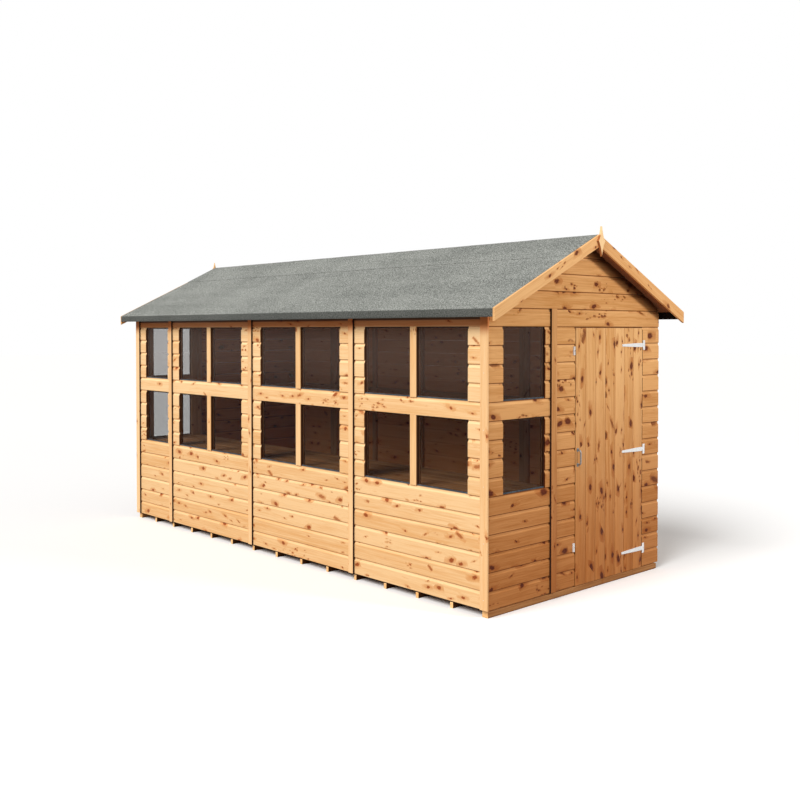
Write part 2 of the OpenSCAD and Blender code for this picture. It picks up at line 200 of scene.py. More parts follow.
class Finish:
    """A material that is being written, or the world's own light."""

    def __init__(self, name, world=False):
        self.material = bpy.data.worlds.new(name) if world else bpy.data.materials.new(name)
        self.material.use_nodes = True
        self.tree = self.material.node_tree
        self.tree.nodes.clear()

    def feed(self, socket, value):
        """Links a value to a socket, or writes a number or a colour straight on it."""
        if isinstance(value, Value):
            self.tree.links.new(value.socket, socket)
        elif hasattr(value, "__len__") and len(value) == 3 and len(getattr(socket, "default_value", ())) == 4:
            socket.default_value = (*value, 1.0)
        else:
            socket.default_value = value

    def node(self, kind, settings=None, sockets=None, out=0):
        """Any node: its settings first, then the values or links of its sockets. out is its output."""
        made = self.tree.nodes.new("ShaderNode" + kind)
        for key, value in (settings or {}).items():
            setattr(made, key, value)
        for key, value in (sockets or {}).items():
            self.feed(made.inputs[key], value)
        return Value(self, made.outputs[out]) if made.outputs else None

    def vector(self, x, y, z):
        """A vector of three values or numbers."""
        return self.node("CombineXYZ", {}, {"X": x, "Y": y, "Z": z})

    def split(self, vector):
        """The three values in a vector or a colour."""
        return [self.node("SeparateXYZ", {}, {"Vector": vector}, out) for out in ("X", "Y", "Z")]

    def noise(self, vector, scale=1.0, detail=2.0, roughness=0.5, distortion=0.0):
        """Cloudy noise between 0 and 1. A stretched pattern comes from a vector that is squeezed."""
        sockets = {"Vector": vector, "Scale": scale, "Detail": detail, "Roughness": roughness,
                   "Distortion": distortion}
        return self.node("TexNoise", {}, sockets)

    def blend(self, factor, first, second, way="MIX"):
        """The first colour where factor is 0 and the second where it is 1."""
        settings = {"data_type": "RGBA", "blend_type": way}
        return self.node("Mix", settings, {0: factor, 6: first, 7: second}, 2)

    def end(self, **sockets):
        """Gives the finish its Principled shader. Names with _ stand for the sockets' names."""
        shader = self.node("BsdfPrincipled", {}, {k.replace("_", " "): v for k, v in sockets.items()})
        self.node("OutputMaterial", {}, {"Surface": shader})
        return self.material


print("finish writer ready")

# %% [markdown]
# ## Knots
# A knot is a dark red-brown eye in a warm halo, and the growth rings bend round it. A picture of wood
# would repeat from board to board and stretch over the edges, so the pattern is worked out in the board's
# own directions. Knots are the cells of a Voronoi pattern: most cells are left empty, and the rest get a
# knot of their own size.

# %% Knots
KNOT_CELL = 0.098  # one knot may sit in each square of this size


def knots(f, u, v, share, size, spacing=KNOT_CELL):
    """How much of a knot and of its halo is at each point, and which way the rings are pushed by it.

    The distance from the cell's point, stretched along the grain for the halo, is compared with a radius
    that the cell's random colour chooses; share is how many of the cells have a knot at all. A few of them
    are spikes, where the branch was sawn lengthwise: longer, thinner and leaning."""
    ragged = f.noise(f.vector(u * 60.0, v * 85.0, 0.0), detail=3.0) - 0.5
    place = f.vector(u / spacing, v / spacing, 0.0)
    cell = {"voronoi_dimensions": "2D", "feature": "F1"}
    sockets = {"Vector": place, "Scale": 1.0, "Randomness": 0.9}
    point = f.node("TexVoronoi", cell, sockets, "Position")
    chance, radius, lean = f.split(f.node("TexVoronoi", cell, sockets, "Color"))
    px, py, _ = f.split(point)
    spike = (chance * 61.0).math("FRACT").ease(0.86, 0.94)
    along = (u / spacing - px) * spacing
    across = (v / spacing - py) * spacing
    across = across + along * (lean - 0.5) * (spike * 1.2 + 0.5)
    radius = (radius * radius * 0.75 + 0.25) * size
    there = chance.ease(share, share - 0.01)
    stretched = along * (0.62 - spike * 0.30)
    near = (stretched * stretched + across * across).math("SQRT") + ragged * 0.017
    wide = (along * along * 0.085 + across * across).math("SQRT") + ragged * 0.016
    heart = (near / radius).ease(1.15, 0.45) * there * (1.0 - spike * 0.35)
    halo = (wide / radius).ease(2.3, 0.4) * there
    push = (wide / radius).ease(3.4, 0.0) * there
    return heart, halo, push, near / radius


print("one place for a knot in each", KNOT_CELL, "m")

# %% [markdown]
# ## Painted light and shade
# Some of the light and shade is painted into the wood's colour: a highlight on each cove and shade in the
# joints, shade that deepens towards the foot of the walls and under the roof, shade on faces that line the
# window openings and on the finial's rim, and light and shade on the bearers. Each mark is a small function
# that takes the colour so far and returns it changed. A finish lists the marks it wants, so one recipe for
# pine serves the whole shed.

# %% Marks of painted light and shade
FOOT_SHADE = 1.75, 0.05  # heights from which, and down to which, painted shade deepens the colour
HEAD_SHADE = 1.630, 1.715  # heights between which painted shade darkens the heads of the trims under the eaves
EAVES_SHADE = 1.690, 1.704  # heights between which a reddish painted shade sets in under the eaves
EAVES_DEEP_SHADE = 1.730, 1.742  # heights between which that painted shade turns nearly black
BEARER_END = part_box("floor_bearers")[1][0]
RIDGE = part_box("ridge_felt")[1][2]


def lapped(cove, joint):
    """The courses of shiplap: a painted highlight on the cove, and painted shade in the joint above it. The
    two numbers say how strongly."""
    def mark(f, wood, place):
        course = ((place[2] - base_z) / COVER).math("FRACT")
        lit = course.ease(0.79, 0.82) * course.ease(0.945, 0.92)
        joint_shade = course.ease(0.945, 0.965) + course.ease(0.02, 0.0) * 0.5
        # painted highlight on each cove, then painted shade in each joint
        wood = f.blend(lit * cove, wood, (1.18, 1.30, 1.45), "MULTIPLY")
        return f.blend(joint_shade * joint, wood, (0.20, 0.075, 0.03), "MULTIPLY")
    return mark


def painted_foot_shade(deepest):
    """Painted shade: the colour deepens on the way down the wall, to this much at the foot."""
    def mark(f, wood, place):
        return f.blend(place[2].ease(*FOOT_SHADE), wood, deepest, "MULTIPLY")
    return mark


def painted_eaves_shade(f, wood, place):
    """Painted shade under the roof: reddish at first, then nearly black at the eaves."""
    wood = f.blend(place[2].ease(*EAVES_SHADE), wood, (0.72, 0.42, 0.30), "MULTIPLY")
    return f.blend(place[2].ease(*EAVES_DEEP_SHADE), wood, (0.15, 0.17, 0.21), "MULTIPLY")


def painted_head_shade(f, wood, place):
    """Painted shade on the heads of the trims, under the eaves."""
    return f.blend(place[2].ease(*HEAD_SHADE), wood, (0.72, 0.38, 0.23), "MULTIPLY")


def faces_along(f, axis):
    """How much a face looks along an axis: the size of that part of its normal, 1 where it does fully."""
    return f.split(f.node("NewGeometry", {}, {}, "Normal"))[axis].math("ABSOLUTE")


def painted_end_shade(axis):
    """Painted shade: faces that look along the wall's own axis, as in the window openings, turn dark."""
    def mark(f, wood, place):
        return f.blend(faces_along(f, axis).ease(0.5, 0.8), wood, (0.20, 0.11, 0.07), "MULTIPLY")
    return mark


def under_the_verge(f, wood, place):
    """Painted shade between gable and roof, deeper the less height is left up to the roof boards."""
    room = apex - SLOPE * place[0].math("ABSOLUTE") - place[2]
    return f.blend(room.ease(0.105, 0.015), wood, (0.10, 0.06, 0.045), "MULTIPLY")


def painted_rim_shade(f, wood, place):
    """Painted shade on the rim: below the ridge, faces that don't look along the shed turn dark."""
    below = place[2].ease(RIDGE + 0.004, RIDGE - 0.014)
    return f.blend(faces_along(f, 1).ease(0.8, 0.4) * below, wood, (0.42, 0.22, 0.13), "MULTIPLY")


def bearer_light_and_shade(f, wood, place):
    """Painted light and shade: pale sunny ends, black shaded inner bearers, a highlit upper edge, a shaded
    foot.
    """
    ends = place[0].math("ABSOLUTE").ease(BEARER_END - 0.0008, BEARER_END - 0.0004)
    inner = place[1].math("ABSOLUTE").ease(rear_y - 0.060, rear_y - 0.070) * (1.0 - ends)
    # painted shade on the inner bearers, painted light on the ends and upper edge, painted shade at the foot
    wood = f.blend(inner, wood, (0.20, 0.15, 0.11), "MULTIPLY")
    wood = f.blend(ends, wood, (2.1, 2.7, 3.1), "MULTIPLY")
    wood = f.blend(place[2].ease(0.031, 0.034) * 0.6, wood, (1.5, 1.7, 1.9), "MULTIPLY")
    foot = place[2].ease(0.010, 0.002) * (1.0 - ends) * 0.7
    return f.blend(foot, wood, (0.35, 0.25, 0.20), "MULTIPLY")


# the painted shade under the eaves starts this far below the top of the long walls
print("painted_shade starts", round(wall_top - EAVES_SHADE[0], 3), "m below the top of the long walls")

# %% [markdown]
# ## The pine itself
# Planed pine is pale between its growth rings and darker on them. Each board carries its own directions as
# an attribute, `grain` (metres along, across and through the board), and its own shade as `tone`. Reading
# those and not the place in the shed makes the rings run along every board and go on over its edges, and
# no two boards are alike. The shade adds broad streaks, fine fibre and slow clouds to the rings, and the
# marks come last.

# %% Pine
CLUSTER = 0.64  # small knots come in clusters, where a slow noise is above this
BACK_FROM = 0.0075  # past this depth the rough back of a cladding board shows


def pine(name, pale, deep, knot, share=0.3, size=0.017, back=None, axis=None, rough=0.58, streak=0.85,
         marks=()):
    """A pine finish between two shades. axis (0, 1 or 2) says which way the grain runs on a piece with no
    grain attribute, back is the shade of the boards' rough side, and marks paint light and shade over the
    wood."""
    f = Finish(name)
    place = f.split(f.node("TexCoord", {}, {}, "Object"))
    if axis is None:
        u, v, w = f.split(f.node("Attribute", {"attribute_name": "grain"}, {}, "Vector"))
        tone = f.node("Attribute", {"attribute_name": "tone"}, {}, "Fac")
    else:
        u, v, w = place[axis], place[(axis + 1) % 3], place[(axis + 2) % 3]
        tone = f.noise(f.vector(u * 0.6, v * 5.0, w * 5.0), detail=0.0)
    heart, halo, push, ring = knots(f, u, v, share, size)
    small, glow, _, _ = knots(f, u + 7.3, v + 3.1, 0.6, size * 0.55, KNOT_CELL * 0.3)
    patch = f.noise(f.vector(u * 3.3, v * 6.0, 5.0), detail=1.0).ease(CLUSTER, CLUSTER + 0.05)
    heart = heart.math("MAXIMUM", small * patch)
    halo = halo.math("MAXIMUM", glow * patch)
    drift = f.noise(f.vector(u * 1.1, v * 9.0, w * 9.0), detail=3.0, roughness=0.6)
    rings = v * 62.0 + w * 34.0 + drift * 7.0 + push * 1.6
    line = (rings.math("FRACT") - 0.5).math("ABSOLUTE").ease(0.5, 0.12)
    broad = f.noise(f.vector(u * 1.7, v * 30.0 + push * 0.8, w * 30.0), detail=4.0, roughness=0.62)
    fibre = f.noise(f.vector(u * 26.0, v * 620.0, w * 620.0), detail=2.0, roughness=0.7)
    cloud = f.noise(f.vector(u * 2.6, v * 7.0, w * 7.0), detail=2.0)
    strand = f.noise(f.vector(u * 2.5, v * 120.0 + push * 2.0, w * 120.0), detail=2.0, roughness=0.6)
    shade = (broad - 0.5) * 2.4 * streak + (1.0 - line) * 0.24 + (fibre - 0.5) * 0.5 + (cloud - 0.5) * 0.6
    shade = shade + (strand - 0.5) * 1.3 + tone * 0.66 - 0.08
    wood = f.blend(shade.math("ADD", 0.0, clamp=True), pale, deep)
    smudge = f.noise(f.vector(u * 9.0, v * 34.0, w * 20.0), detail=3.0, roughness=0.65).ease(0.63, 0.76)
    wood = f.blend((halo * 0.66 + smudge * 0.34).math("ADD", 0.0, clamp=True), wood, knot[1])
    eye = (ring * 2.6).math("SINE") * 0.16 + 0.84
    wood = f.blend(heart * eye, wood, knot[0])
    for mark in marks:
        wood = mark(f, wood, place)
    if back is not None:
        wood = f.blend(w.ease(BACK_FROM, BACK_FROM + 0.001), wood, f.blend(1.0, wood, back, "MULTIPLY"))
    relief = fibre * 0.35 + line * 0.45 + broad * 0.5 - heart * 0.5
    bump = f.node("Bump", {}, {"Strength": 0.35, "Distance": 0.0012, "Height": relief})
    return f.end(Base_Color=wood, Roughness=shade * 0.12 + rough - heart * 0.10, Normal=bump,
                 Specular_IOR_Level=0.1)


print("pine is written in metres along, across and through a board")

# %% [markdown]
# ## Shades of pine
# One recipe gives every timber its finish. The long side and its trims take a pale copy of the pine for the
# light, and the gables, their strips and the right-hand corner trims a deeper copy for the shade: that
# difference is painted light and shade. Trims are planed from clearer wood with few knots, and sawn framing
# is rougher and browner. Each line says the pale and the deep shade, the knots' colours, how many cells have
# a knot, and how big it is.

# %% Pine in its shades
KNOT = ((0.115, 0.019, 0.005), (0.47, 0.155, 0.034))  # heart and halo
KNOT_PALE = ((0.34, 0.075, 0.018), (0.70, 0.28, 0.08))
INSIDE = (1.15, 0.83, 0.62)  # how the rough backs of the boards differ
FRAMING = (0.72, 0.41, 0.205), (0.55, 0.28, 0.125)
# painted shade towards the foot of the gable
GABLE_FOOT_SHADE = painted_foot_shade((0.61, 0.42, 0.30))

# pale copy of the pine: painted light on the long sides
side_pine = pine("side_pine", (0.98, 0.665, 0.36), (0.85, 0.48, 0.205), KNOT_PALE, 0.42, 0.017, INSIDE,
                 marks=(lapped(0.25, 0.12), painted_foot_shade((0.90, 0.855, 0.80)), painted_eaves_shade, painted_end_shade(1)))
mullion_pine = pine("mullion_pine", (0.95, 0.62, 0.32), (0.84, 0.47, 0.20), KNOT_PALE, 0.2, 0.012,
                    marks=(painted_end_shade(1),))
# deeper copy of the same pine: painted shade on the gables
gable_pine = pine("gable_pine", (0.81, 0.438, 0.174), (0.605, 0.277, 0.084), KNOT, 0.36, 0.025, INSIDE,
                  marks=(lapped(0.55, 0.8), painted_foot_shade((0.64, 0.475, 0.37)), under_the_verge, painted_end_shade(0)))
# the trims too: a pale copy for the light on the long sides, a deeper copy for the shade on the gables
trim_pine = pine("trim_pine", (0.96, 0.635, 0.34), (0.87, 0.505, 0.23), KNOT_PALE, 0.2, 0.012,
                 marks=(painted_head_shade,))
shaded_trim_pine = pine("shaded_trim_pine", (0.75, 0.40, 0.165), (0.58, 0.27, 0.092), KNOT, 0.28, 0.015,
                       marks=(GABLE_FOOT_SHADE,))
barge_pine = pine("barge_pine", (0.84, 0.488, 0.215), (0.68, 0.34, 0.125), KNOT, 0.34, 0.016)
finial_pine = pine("finial_pine", (0.93, 0.64, 0.34), (0.84, 0.50, 0.23), KNOT_PALE, 0.1, 0.010,
                   marks=(painted_rim_shade,))
door_pine = pine("door_pine", (0.86, 0.50, 0.218), (0.66, 0.318, 0.104), KNOT, 0.5, 0.021,
                 marks=(GABLE_FOOT_SHADE,))
framing_pine = pine("framing_pine", *FRAMING, KNOT, 0.16, 0.012, rough=0.75)
side_framing = pine("side_framing", *FRAMING, KNOT, 0.16, 0.012, rough=0.75, marks=(painted_end_shade(1),))
gable_framing = pine("gable_framing", *FRAMING, KNOT, 0.16, 0.012, rough=0.75, marks=(painted_end_shade(0),))
long_timber = pine("long_timber", *FRAMING, KNOT, 0.16, 0.012, axis=1, rough=0.75)
# near black: painted shade on the eave battens under the overhang
shaded_batten_pine = pine("shaded_batten_pine", (0.014, 0.009, 0.007), (0.009, 0.006, 0.005), KNOT, 0.0, 0.012, axis=1,
                   rough=0.8)
# dark brown: painted shade on the door stops and the glazing beads, in the gaps round the door and the panes
shaded_stop_pine = pine("shaded_stop_pine", (0.26, 0.11, 0.045), (0.16, 0.06, 0.025), KNOT, 0.16, 0.012, rough=0.75)
floor_pine = pine("floor_pine", (0.60, 0.29, 0.115), (0.42, 0.17, 0.06), KNOT, 0.2, 0.015, rough=0.7)
bearer_pine = pine("bearer_pine", (0.52, 0.25, 0.097), (0.37, 0.153, 0.054), KNOT, 0.14, 0.012, rough=0.75,
                   marks=(bearer_light_and_shade,))
bench_pine = pine("bench_pine", (0.50, 0.250, 0.105), (0.345, 0.152, 0.058), KNOT, 0.26, 0.018, rough=0.65)
# dark red: painted shade on the roof boards, seen from below under the overhangs
shaded_deck_pine = pine("shaded_deck_pine", (0.34, 0.125, 0.055), (0.22, 0.075, 0.032), KNOT, 0.2, 0.015, rough=0.75)
print("materials so far:", len(bpy.data.materials))

# %% [markdown]
# ## Felt and glass
# Roofing felt is bitumen with crushed slate rolled into it, so it's one grey-green made of light and dark
# grains, with faint drifts where the grit is thinner. Horticultural glass could be a glass shader, but a
# thin pane that is mostly transparent renders faster and exports as it looks: a near-black tint that lets
# most of the light through and mirrors a little of the sky.

# %% Felt and glass finishes
DUST_FROM, DUST_TO = 1.20, 1.62  # heights between which the dust on the panes grows
EAVE_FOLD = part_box("roof_felt_left")[0][2] + 0.050  # below this height the felt hangs down over the eaves


def roofing_felt():
    """Grey-green grit: fine noise for grains and flecks, and two slow ones for drifts and brushing."""
    f = Finish("roof_felt")
    place = f.node("TexCoord", {}, {}, "Object")
    grain = f.noise(place, scale=650.0, detail=2.0, roughness=0.8)
    fleck = f.noise(place, scale=125.0, detail=3.0, roughness=0.75)
    drift = f.noise(place, scale=2.3, detail=3.0)
    x, y, z = f.split(place)
    brushed = f.noise(f.vector(x * 3.0, y * 0.35, z * 3.0), scale=2.2, detail=2.0)
    shade = (fleck - 0.5) * 5.0 + (grain - 0.5) * 1.4 + (drift - 0.5) * 0.5 + (brushed - 0.5) * 0.5 + 0.46
    colour = f.blend(shade.math("ADD", 0.0, clamp=True), (0.070, 0.077, 0.070), (0.405, 0.420, 0.392))
    colour = f.blend(z.ease(EAVE_FOLD, EAVE_FOLD - 0.004) * 0.7, colour, (0.017, 0.019, 0.016))
    bump = f.node("Bump", {}, {"Strength": 0.8, "Distance": 0.0015, "Height": grain + fleck * 1.5})
    return f.end(Base_Color=colour, Roughness=0.95 - (grain - 0.5) * 0.2, Normal=bump)


def window_glass():
    """A see-through pane with two faces, each of which lets three quarters of the light through. It is near
    black, so that it only tints, with a film of dust that grows upwards and faint smears in its gloss."""
    f = Finish("window_glass")
    place = f.node("TexCoord", {}, {}, "Object")
    smear = f.noise(place, scale=7.0, detail=4.0, roughness=0.7)
    height = f.split(place)[2] + smear * 0.2
    dust = f.blend(height.ease(DUST_FROM, DUST_TO), (0.004, 0.004, 0.004), (0.095, 0.074, 0.062))
    return f.end(Base_Color=dust, Roughness=smear * 0.06, Alpha=0.25, IOR=1.45, Specular_IOR_Level=0.15)


felt = roofing_felt()
glass = window_glass()
print("felt is darker below", round(EAVE_FOLD, 3), "m")

# %% [markdown]
# ## Steel and rubber
# The fittings are zinc plated: a pale metal with a faint spangle of crystals, which a Voronoi pattern gives
# at once. The handle is the same steel under a dark grey finish. The gaskets round the panes are red-black
# rubber, and the same near-black finish, on thin strips beside the cover strips, is painted shade in the
# joints. The weather bars under the panes are blue-grey.

# %% Steel and rubber finishes


def zinc(name, pale, dark, metallic, rough):
    """Plated steel: large faint crystals from a Voronoi pattern and fine scratches along Z."""
    f = Finish(name)
    place = f.node("TexCoord", {}, {}, "Object")
    spangle = f.node("TexVoronoi", {"feature": "F1"}, {"Vector": place, "Scale": 180.0}, "Color")
    flake = f.split(spangle)[0]
    x, y, z = f.split(place)
    scratch = f.noise(f.vector(x * 900.0, y * 900.0, z * 40.0), detail=2.0)
    colour = f.blend(flake * 0.6 + scratch * 0.3, pale, dark)
    bump = f.node("Bump", {}, {"Strength": 0.15, "Distance": 0.0004, "Height": scratch})
    return f.end(Base_Color=colour, Metallic=metallic, Roughness=flake * 0.12 + rough, Normal=bump)


def rubber(name, colour, worn):
    """Sealing rubber with a dusty bloom."""
    f = Finish(name)
    dust = f.noise(f.node("TexCoord", {}, {}, "Object"), scale=40.0, detail=3.0)
    bump = f.node("Bump", {}, {"Strength": 0.2, "Distance": 0.0005, "Height": dust})
    return f.end(Base_Color=f.blend(dust.ease(0.4, 0.8), colour, worn), Roughness=dust * 0.2 + 0.6,
                 Normal=bump, Specular_IOR_Level=0.15)


zinc_pale = zinc("galvanised_steel", (0.90, 0.91, 0.92), (0.66, 0.67, 0.69), 0.25, 0.38)
zinc_dark = zinc("grey_steel", (0.30, 0.30, 0.30), (0.17, 0.17, 0.17), 0.8, 0.33)
# near black: rubber for the gaskets, and painted shade for the strips in the joints
black_rubber_and_shade = rubber("gasket_rubber_and_joint_shade", (0.022, 0.007, 0.004), (0.050, 0.018, 0.010))
bar_blue = rubber("weather_bar", (0.045, 0.062, 0.078), (0.10, 0.13, 0.155))
print("finishes in all:", len(bpy.data.materials))

# %% [markdown]
# ## From arrays to pieces
# Every timber is a closed outline carried through a few rings, so one array holds many timbers: the solid,
# the ring, the point of the outline, and x, y, z. The faces follow from that shape alone. Adding
# primitives one by one would take a loop over hundreds of boards; a whole array is made and put in a mesh
# at once.

# %% Carried outlines


def carried(rings):
    """Faces of closed solids from an array (solids, rings, points, 3): a quad between each two neighbouring
    points of two neighbouring rings, and the first and last ring as ends. The outline runs anticlockwise
    seen against the way it is carried, so all faces point outwards."""
    solid, ring, point = rings.shape[:3]
    at = np.arange(solid * ring * point).reshape(solid, ring, point)
    after = np.roll(at, -1, 2)
    sides = np.stack([at[:, :-1], after[:, :-1], after[:, 1:], at[:, 1:]], -1).reshape(-1, 4)
    return [sides, np.concatenate([at[:, 0, ::-1], at[:, -1]])]


def piece(name, points, faces, finish, body="shed", nodes=(), extra=None, smooth=24):
    """One mesh object from whole arrays. faces is a list of arrays of corner numbers, a row for each face.
    extra holds point attributes by name, and smooth is the angle up to which edges are shaded round."""
    mesh = bpy.data.meshes.new(name)
    corner = np.concatenate([f.ravel() for f in faces]).astype(np.int32)
    size = np.concatenate([np.full(len(f), f.shape[1]) for f in faces])
    mesh.vertices.add(len(points))
    mesh.vertices.foreach_set("co", np.asarray(points, np.float32).ravel())
    mesh.loops.add(len(corner))
    mesh.loops.foreach_set("vertex_index", corner)
    mesh.polygons.add(len(size))
    mesh.polygons.foreach_set("loop_start", (np.cumsum(size) - size).astype(np.int32))
    mesh.update(calc_edges=True)
    mesh.validate()
    for key, values in (extra or {}).items():
        kind, field = ("FLOAT_VECTOR", "vector") if values.ndim == 2 else ("FLOAT", "value")
        mesh.attributes.new(key, kind, "POINT").data.foreach_set(field, values.astype(np.float32).ravel())
    mesh.shade_smooth()
    mesh.set_sharp_from_angle(angle=math.radians(smooth))
    mesh.materials.append(finish)
    made = bpy.data.objects.new(name, mesh)
    bpy.context.scene.collection.objects.link(made)
    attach(made, body)
    if nodes:
        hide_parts(*nodes)
    return made


print("meshes come from whole arrays")

# %% [markdown]
# ## Timbers with their own grain
# No two boards come from the same place in a tree. Each solid gets a random shift of its grain and a
# random tone, which the pine finish reads. The random numbers are seeded, so the shed is the same each
# time.

# %% Timbers
rng = np.random.default_rng(1406)


def timbers(name, parts, finish, body="shed", nodes=()):
    """One piece of many timbers. parts is a list of (rings, grain) arrays. Each solid takes its grain from
    its own place in the tree, by a random shift along and across, and has its own tone."""
    points, faces, grain, tone, start = [], [], [], [], 0
    for rings, local in parts:
        shift = rng.uniform((0, 0, 0), (60, 6, 0), (len(rings), 1, 1, 3))
        points.append(rings.reshape(-1, 3))
        grain.append((local + shift).reshape(-1, 3))
        tone.append(np.broadcast_to(rng.random((len(rings), 1, 1)), rings.shape[:3]).ravel())
        faces += [f + start for f in carried(rings)]
        start += rings[..., 0].size
    extra = {"grain": np.concatenate(grain), "tone": np.concatenate(tone)}
    return piece(name, np.concatenate(points), faces, finish, body, nodes, extra)


print("each timber draws its own grain")

# %% [markdown]
# ## Bars with eased edges
# Planed timber has slightly rounded edges, an arris of a millimetre or two, which catches the light. A
# Bevel modifier would do it too, but the outline can simply have rounded corners and the end rings can be
# a little smaller, which keeps the grain attribute exact.

# %% Bars and boards


def rounded(half, arris, inset):
    """Outline of a rectangle with rounded corners, anticlockwise: each corner is an arc of radius arris
    less inset at 0, 45 and 90 degrees. half is (..., 2) half sizes, and the result is (..., 12, 2)."""
    turn = np.radians([0, 45, 90]) + np.radians([[0], [90], [180], [270]])
    way = np.stack([np.cos(turn), np.sin(turn)], -1).reshape(12, 2)
    sign = np.repeat([[1, 1], [-1, 1], [-1, -1], [1, -1]], 3, axis=0)
    return sign * (half[..., None, :] - arris) + (arris - inset) * way


def bars(lo, hi, along, arris=0.0015):
    """Straight timbers along axis `along`, between two arrays of corners: the rounded outline in four
    rings, of which the outer two are half an arris smaller, so that the ends are eased too."""
    lo, hi = np.atleast_2d(lo), np.atleast_2d(hi)
    across = [(along + 1) % 3, (along + 2) % 3]
    ease = arris / 2
    rings = np.empty((len(lo), 4, 12, 3))
    for r, inset in enumerate((ease, 0, 0, ease)):
        outline = rounded((hi - lo)[:, across] / 2, arris, inset)
        rings[:, r, :, across[0]] = outline[..., 0] + (hi + lo)[:, None, across[0]] / 2
        rings[:, r, :, across[1]] = outline[..., 1] + (hi + lo)[:, None, across[1]] / 2
    ends = np.stack([lo[:, along], lo[:, along] + ease, hi[:, along] - ease, hi[:, along]], 1)
    rings[..., along] = ends[:, :, None]
    middle = (lo + hi)[:, None, None] / 2
    wide = (hi - lo)[:, across[0]] >= (hi - lo)[:, across[1]]
    local = rings - middle
    first, second = local[..., across[0]], local[..., across[1]]
    wide = wide[:, None, None]
    grain = np.stack([local[..., along], np.where(wide, first, second), np.where(wide, second, first)], -1)
    return rings, grain


def boards(lo, hi, along, across, count, arris=0.0015, gap=0.0):
    """A slab split across into `count` boards of equal width, with a gap between neighbours."""
    edges = np.linspace(lo[across], hi[across], count + 1)
    low, high = np.repeat([lo], count, 0), np.repeat([hi], count, 0)
    low[:, across] = edges[:-1] + gap / 2
    high[:, across] = edges[1:] - gap / 2
    return bars(low, high, along, arris)


print("outlines carried in whole arrays")

# %% [markdown]
# ## Walls
# The same boards go on four walls that face four ways. A wall knows its own directions, so a board is made
# once in plain terms, along, inwards and up, and then put on any wall. On two of the walls that turns an
# outline the other way round, which is put right so that faces still point outwards.

# %% Walls
UP = np.array([0.0, 0.0, 1.0])


class Wall:
    """A wall's own directions: s along it, d inwards from the face of its boards, and z up."""

    def __init__(self, origin, along, inward):
        self.origin = np.array(origin, float)
        self.along = np.array(along, float)
        self.inward = np.array(inward, float)
        self.axis = int(np.abs(self.along).argmax())
        self.mirrored = np.cross(self.along, self.inward) @ UP < 0

    def place(self, s, d, z):
        """Points in the frame: the origin, plus s along, d inwards and z up."""
        s, d, z = (np.asarray(a)[..., None] for a in np.broadcast_arrays(s, d, z))
        return self.origin + s * self.along + d * self.inward + z * UP

    def bars(self, rows, upright, arris=0.0015):
        """Bars from rows of s0, s1, d0, d1, z0, z1, upright or lying along the wall."""
        rows = np.asarray(rows, float)
        ends = self.place(rows[:, 0:2], rows[:, 2:4], rows[:, 4:6])
        return bars(ends.min(1), ends.max(1), 2 if upright else self.axis, arris)


left_wall = Wall((-side_x, 0, 0), (0, 1, 0), (1, 0, 0))
right_wall = Wall((side_x, 0, 0), (0, 1, 0), (-1, 0, 0))
front_wall = Wall((0, front_y, 0), (1, 0, 0), (0, 1, 0))
rear_wall = Wall((0, rear_y, 0), (1, 0, 0), (0, -1, 0))
print("mirrored walls:", [w.mirrored for w in (left_wall, right_wall, front_wall, rear_wall)])

# %% [markdown]
# ## Shiplap boards
# A shiplap board has a flat face with a hollow cove along its top edge. The board above laps over the
# cove, so each joint is a dark line with a bright curve under it. A bump could fake that line, but not the
# notched silhouette beside a window. So the board's outline is swept along the wall. On the gables the
# ends follow the roof, which is a limit on how far along the wall each point of the outline may go.

# %% Shiplap
COVE_FROM = 0.088  # the face of a board is flat up to here
COVE_DEPTH = 0.0075  # how far the cove goes in
EASE = 0.0016  # eased edges


def board_outline():
    """(d, h) round a board, anticlockwise: underside, back, top, then down the cove and the face. The
    cove's depth is COVE_DEPTH times the sine of a quarter turn as it goes up."""
    rise = np.linspace(1, 0, 6)
    lip = COVER - 0.0065
    cove = np.stack([COVE_DEPTH * np.sin(rise * np.pi / 2), COVE_FROM + (lip - COVE_FROM) * rise], 1)
    under = [(EASE, 0), (CLAD - EASE, 0), (CLAD, EASE), (CLAD, COVER - EASE), (CLAD - EASE, COVER - 0.0003)]
    return np.concatenate([under, [(COVE_DEPTH, COVER - 0.0003)], cove, [(0, EASE)]])


def shiplap(wall, rows, top, limit=None):
    """Boards from rows of start, end and course number. limit gives how far from the middle the roof lets a
    board reach at a height."""
    rows = np.asarray(rows, float)
    outline = board_outline()
    z = np.minimum(base_z + rows[:, 2:3] * COVER + outline[:, 1], top)
    reach = np.inf if limit is None else limit(z)
    s = np.stack([np.maximum(rows[:, 0:1], -reach) + 0 * z, np.minimum(rows[:, 1:2], reach) + 0 * z], 1)
    depth = np.broadcast_to(outline[:, 0], s.shape)
    height = np.broadcast_to(z[:, None], s.shape)
    rings = wall.place(s, depth, height)
    grain = np.stack([s, height - height.mean((1, 2), keepdims=True), depth], -1)
    return (rings[:, :, ::-1], grain[:, :, ::-1]) if wall.mirrored else (rings, grain)


print("points round a board:", len(board_outline()))

# %% [markdown]
# ## Boards stop at the windows
# A course of boards runs from one end of its panel to the other, unless a window is in the way. The panes
# of glass in the frame say where that is, so each course is split at the first pane and goes on after the
# last.

# %% Panes and courses


def panes_in(wall, s0, s1):
    """The panes of a wall between s0 and s1, as rows of s0, s1, z0, z1, from the glass in the frame."""
    node = "side_window_glass" if wall.axis == 1 else "gable_window_glass"
    lo, hi = solids(node)
    s = (lo - wall.origin) @ wall.along
    depth = np.abs((lo - wall.origin) @ wall.inward)
    keep = (s > s0) & (s < s1) & (depth < 2 * WALL)
    edges = np.stack([s, (hi - wall.origin) @ wall.along, lo[:, 2], hi[:, 2]], 1)[keep]
    return edges + [-FIT, FIT, -FIT, FIT]


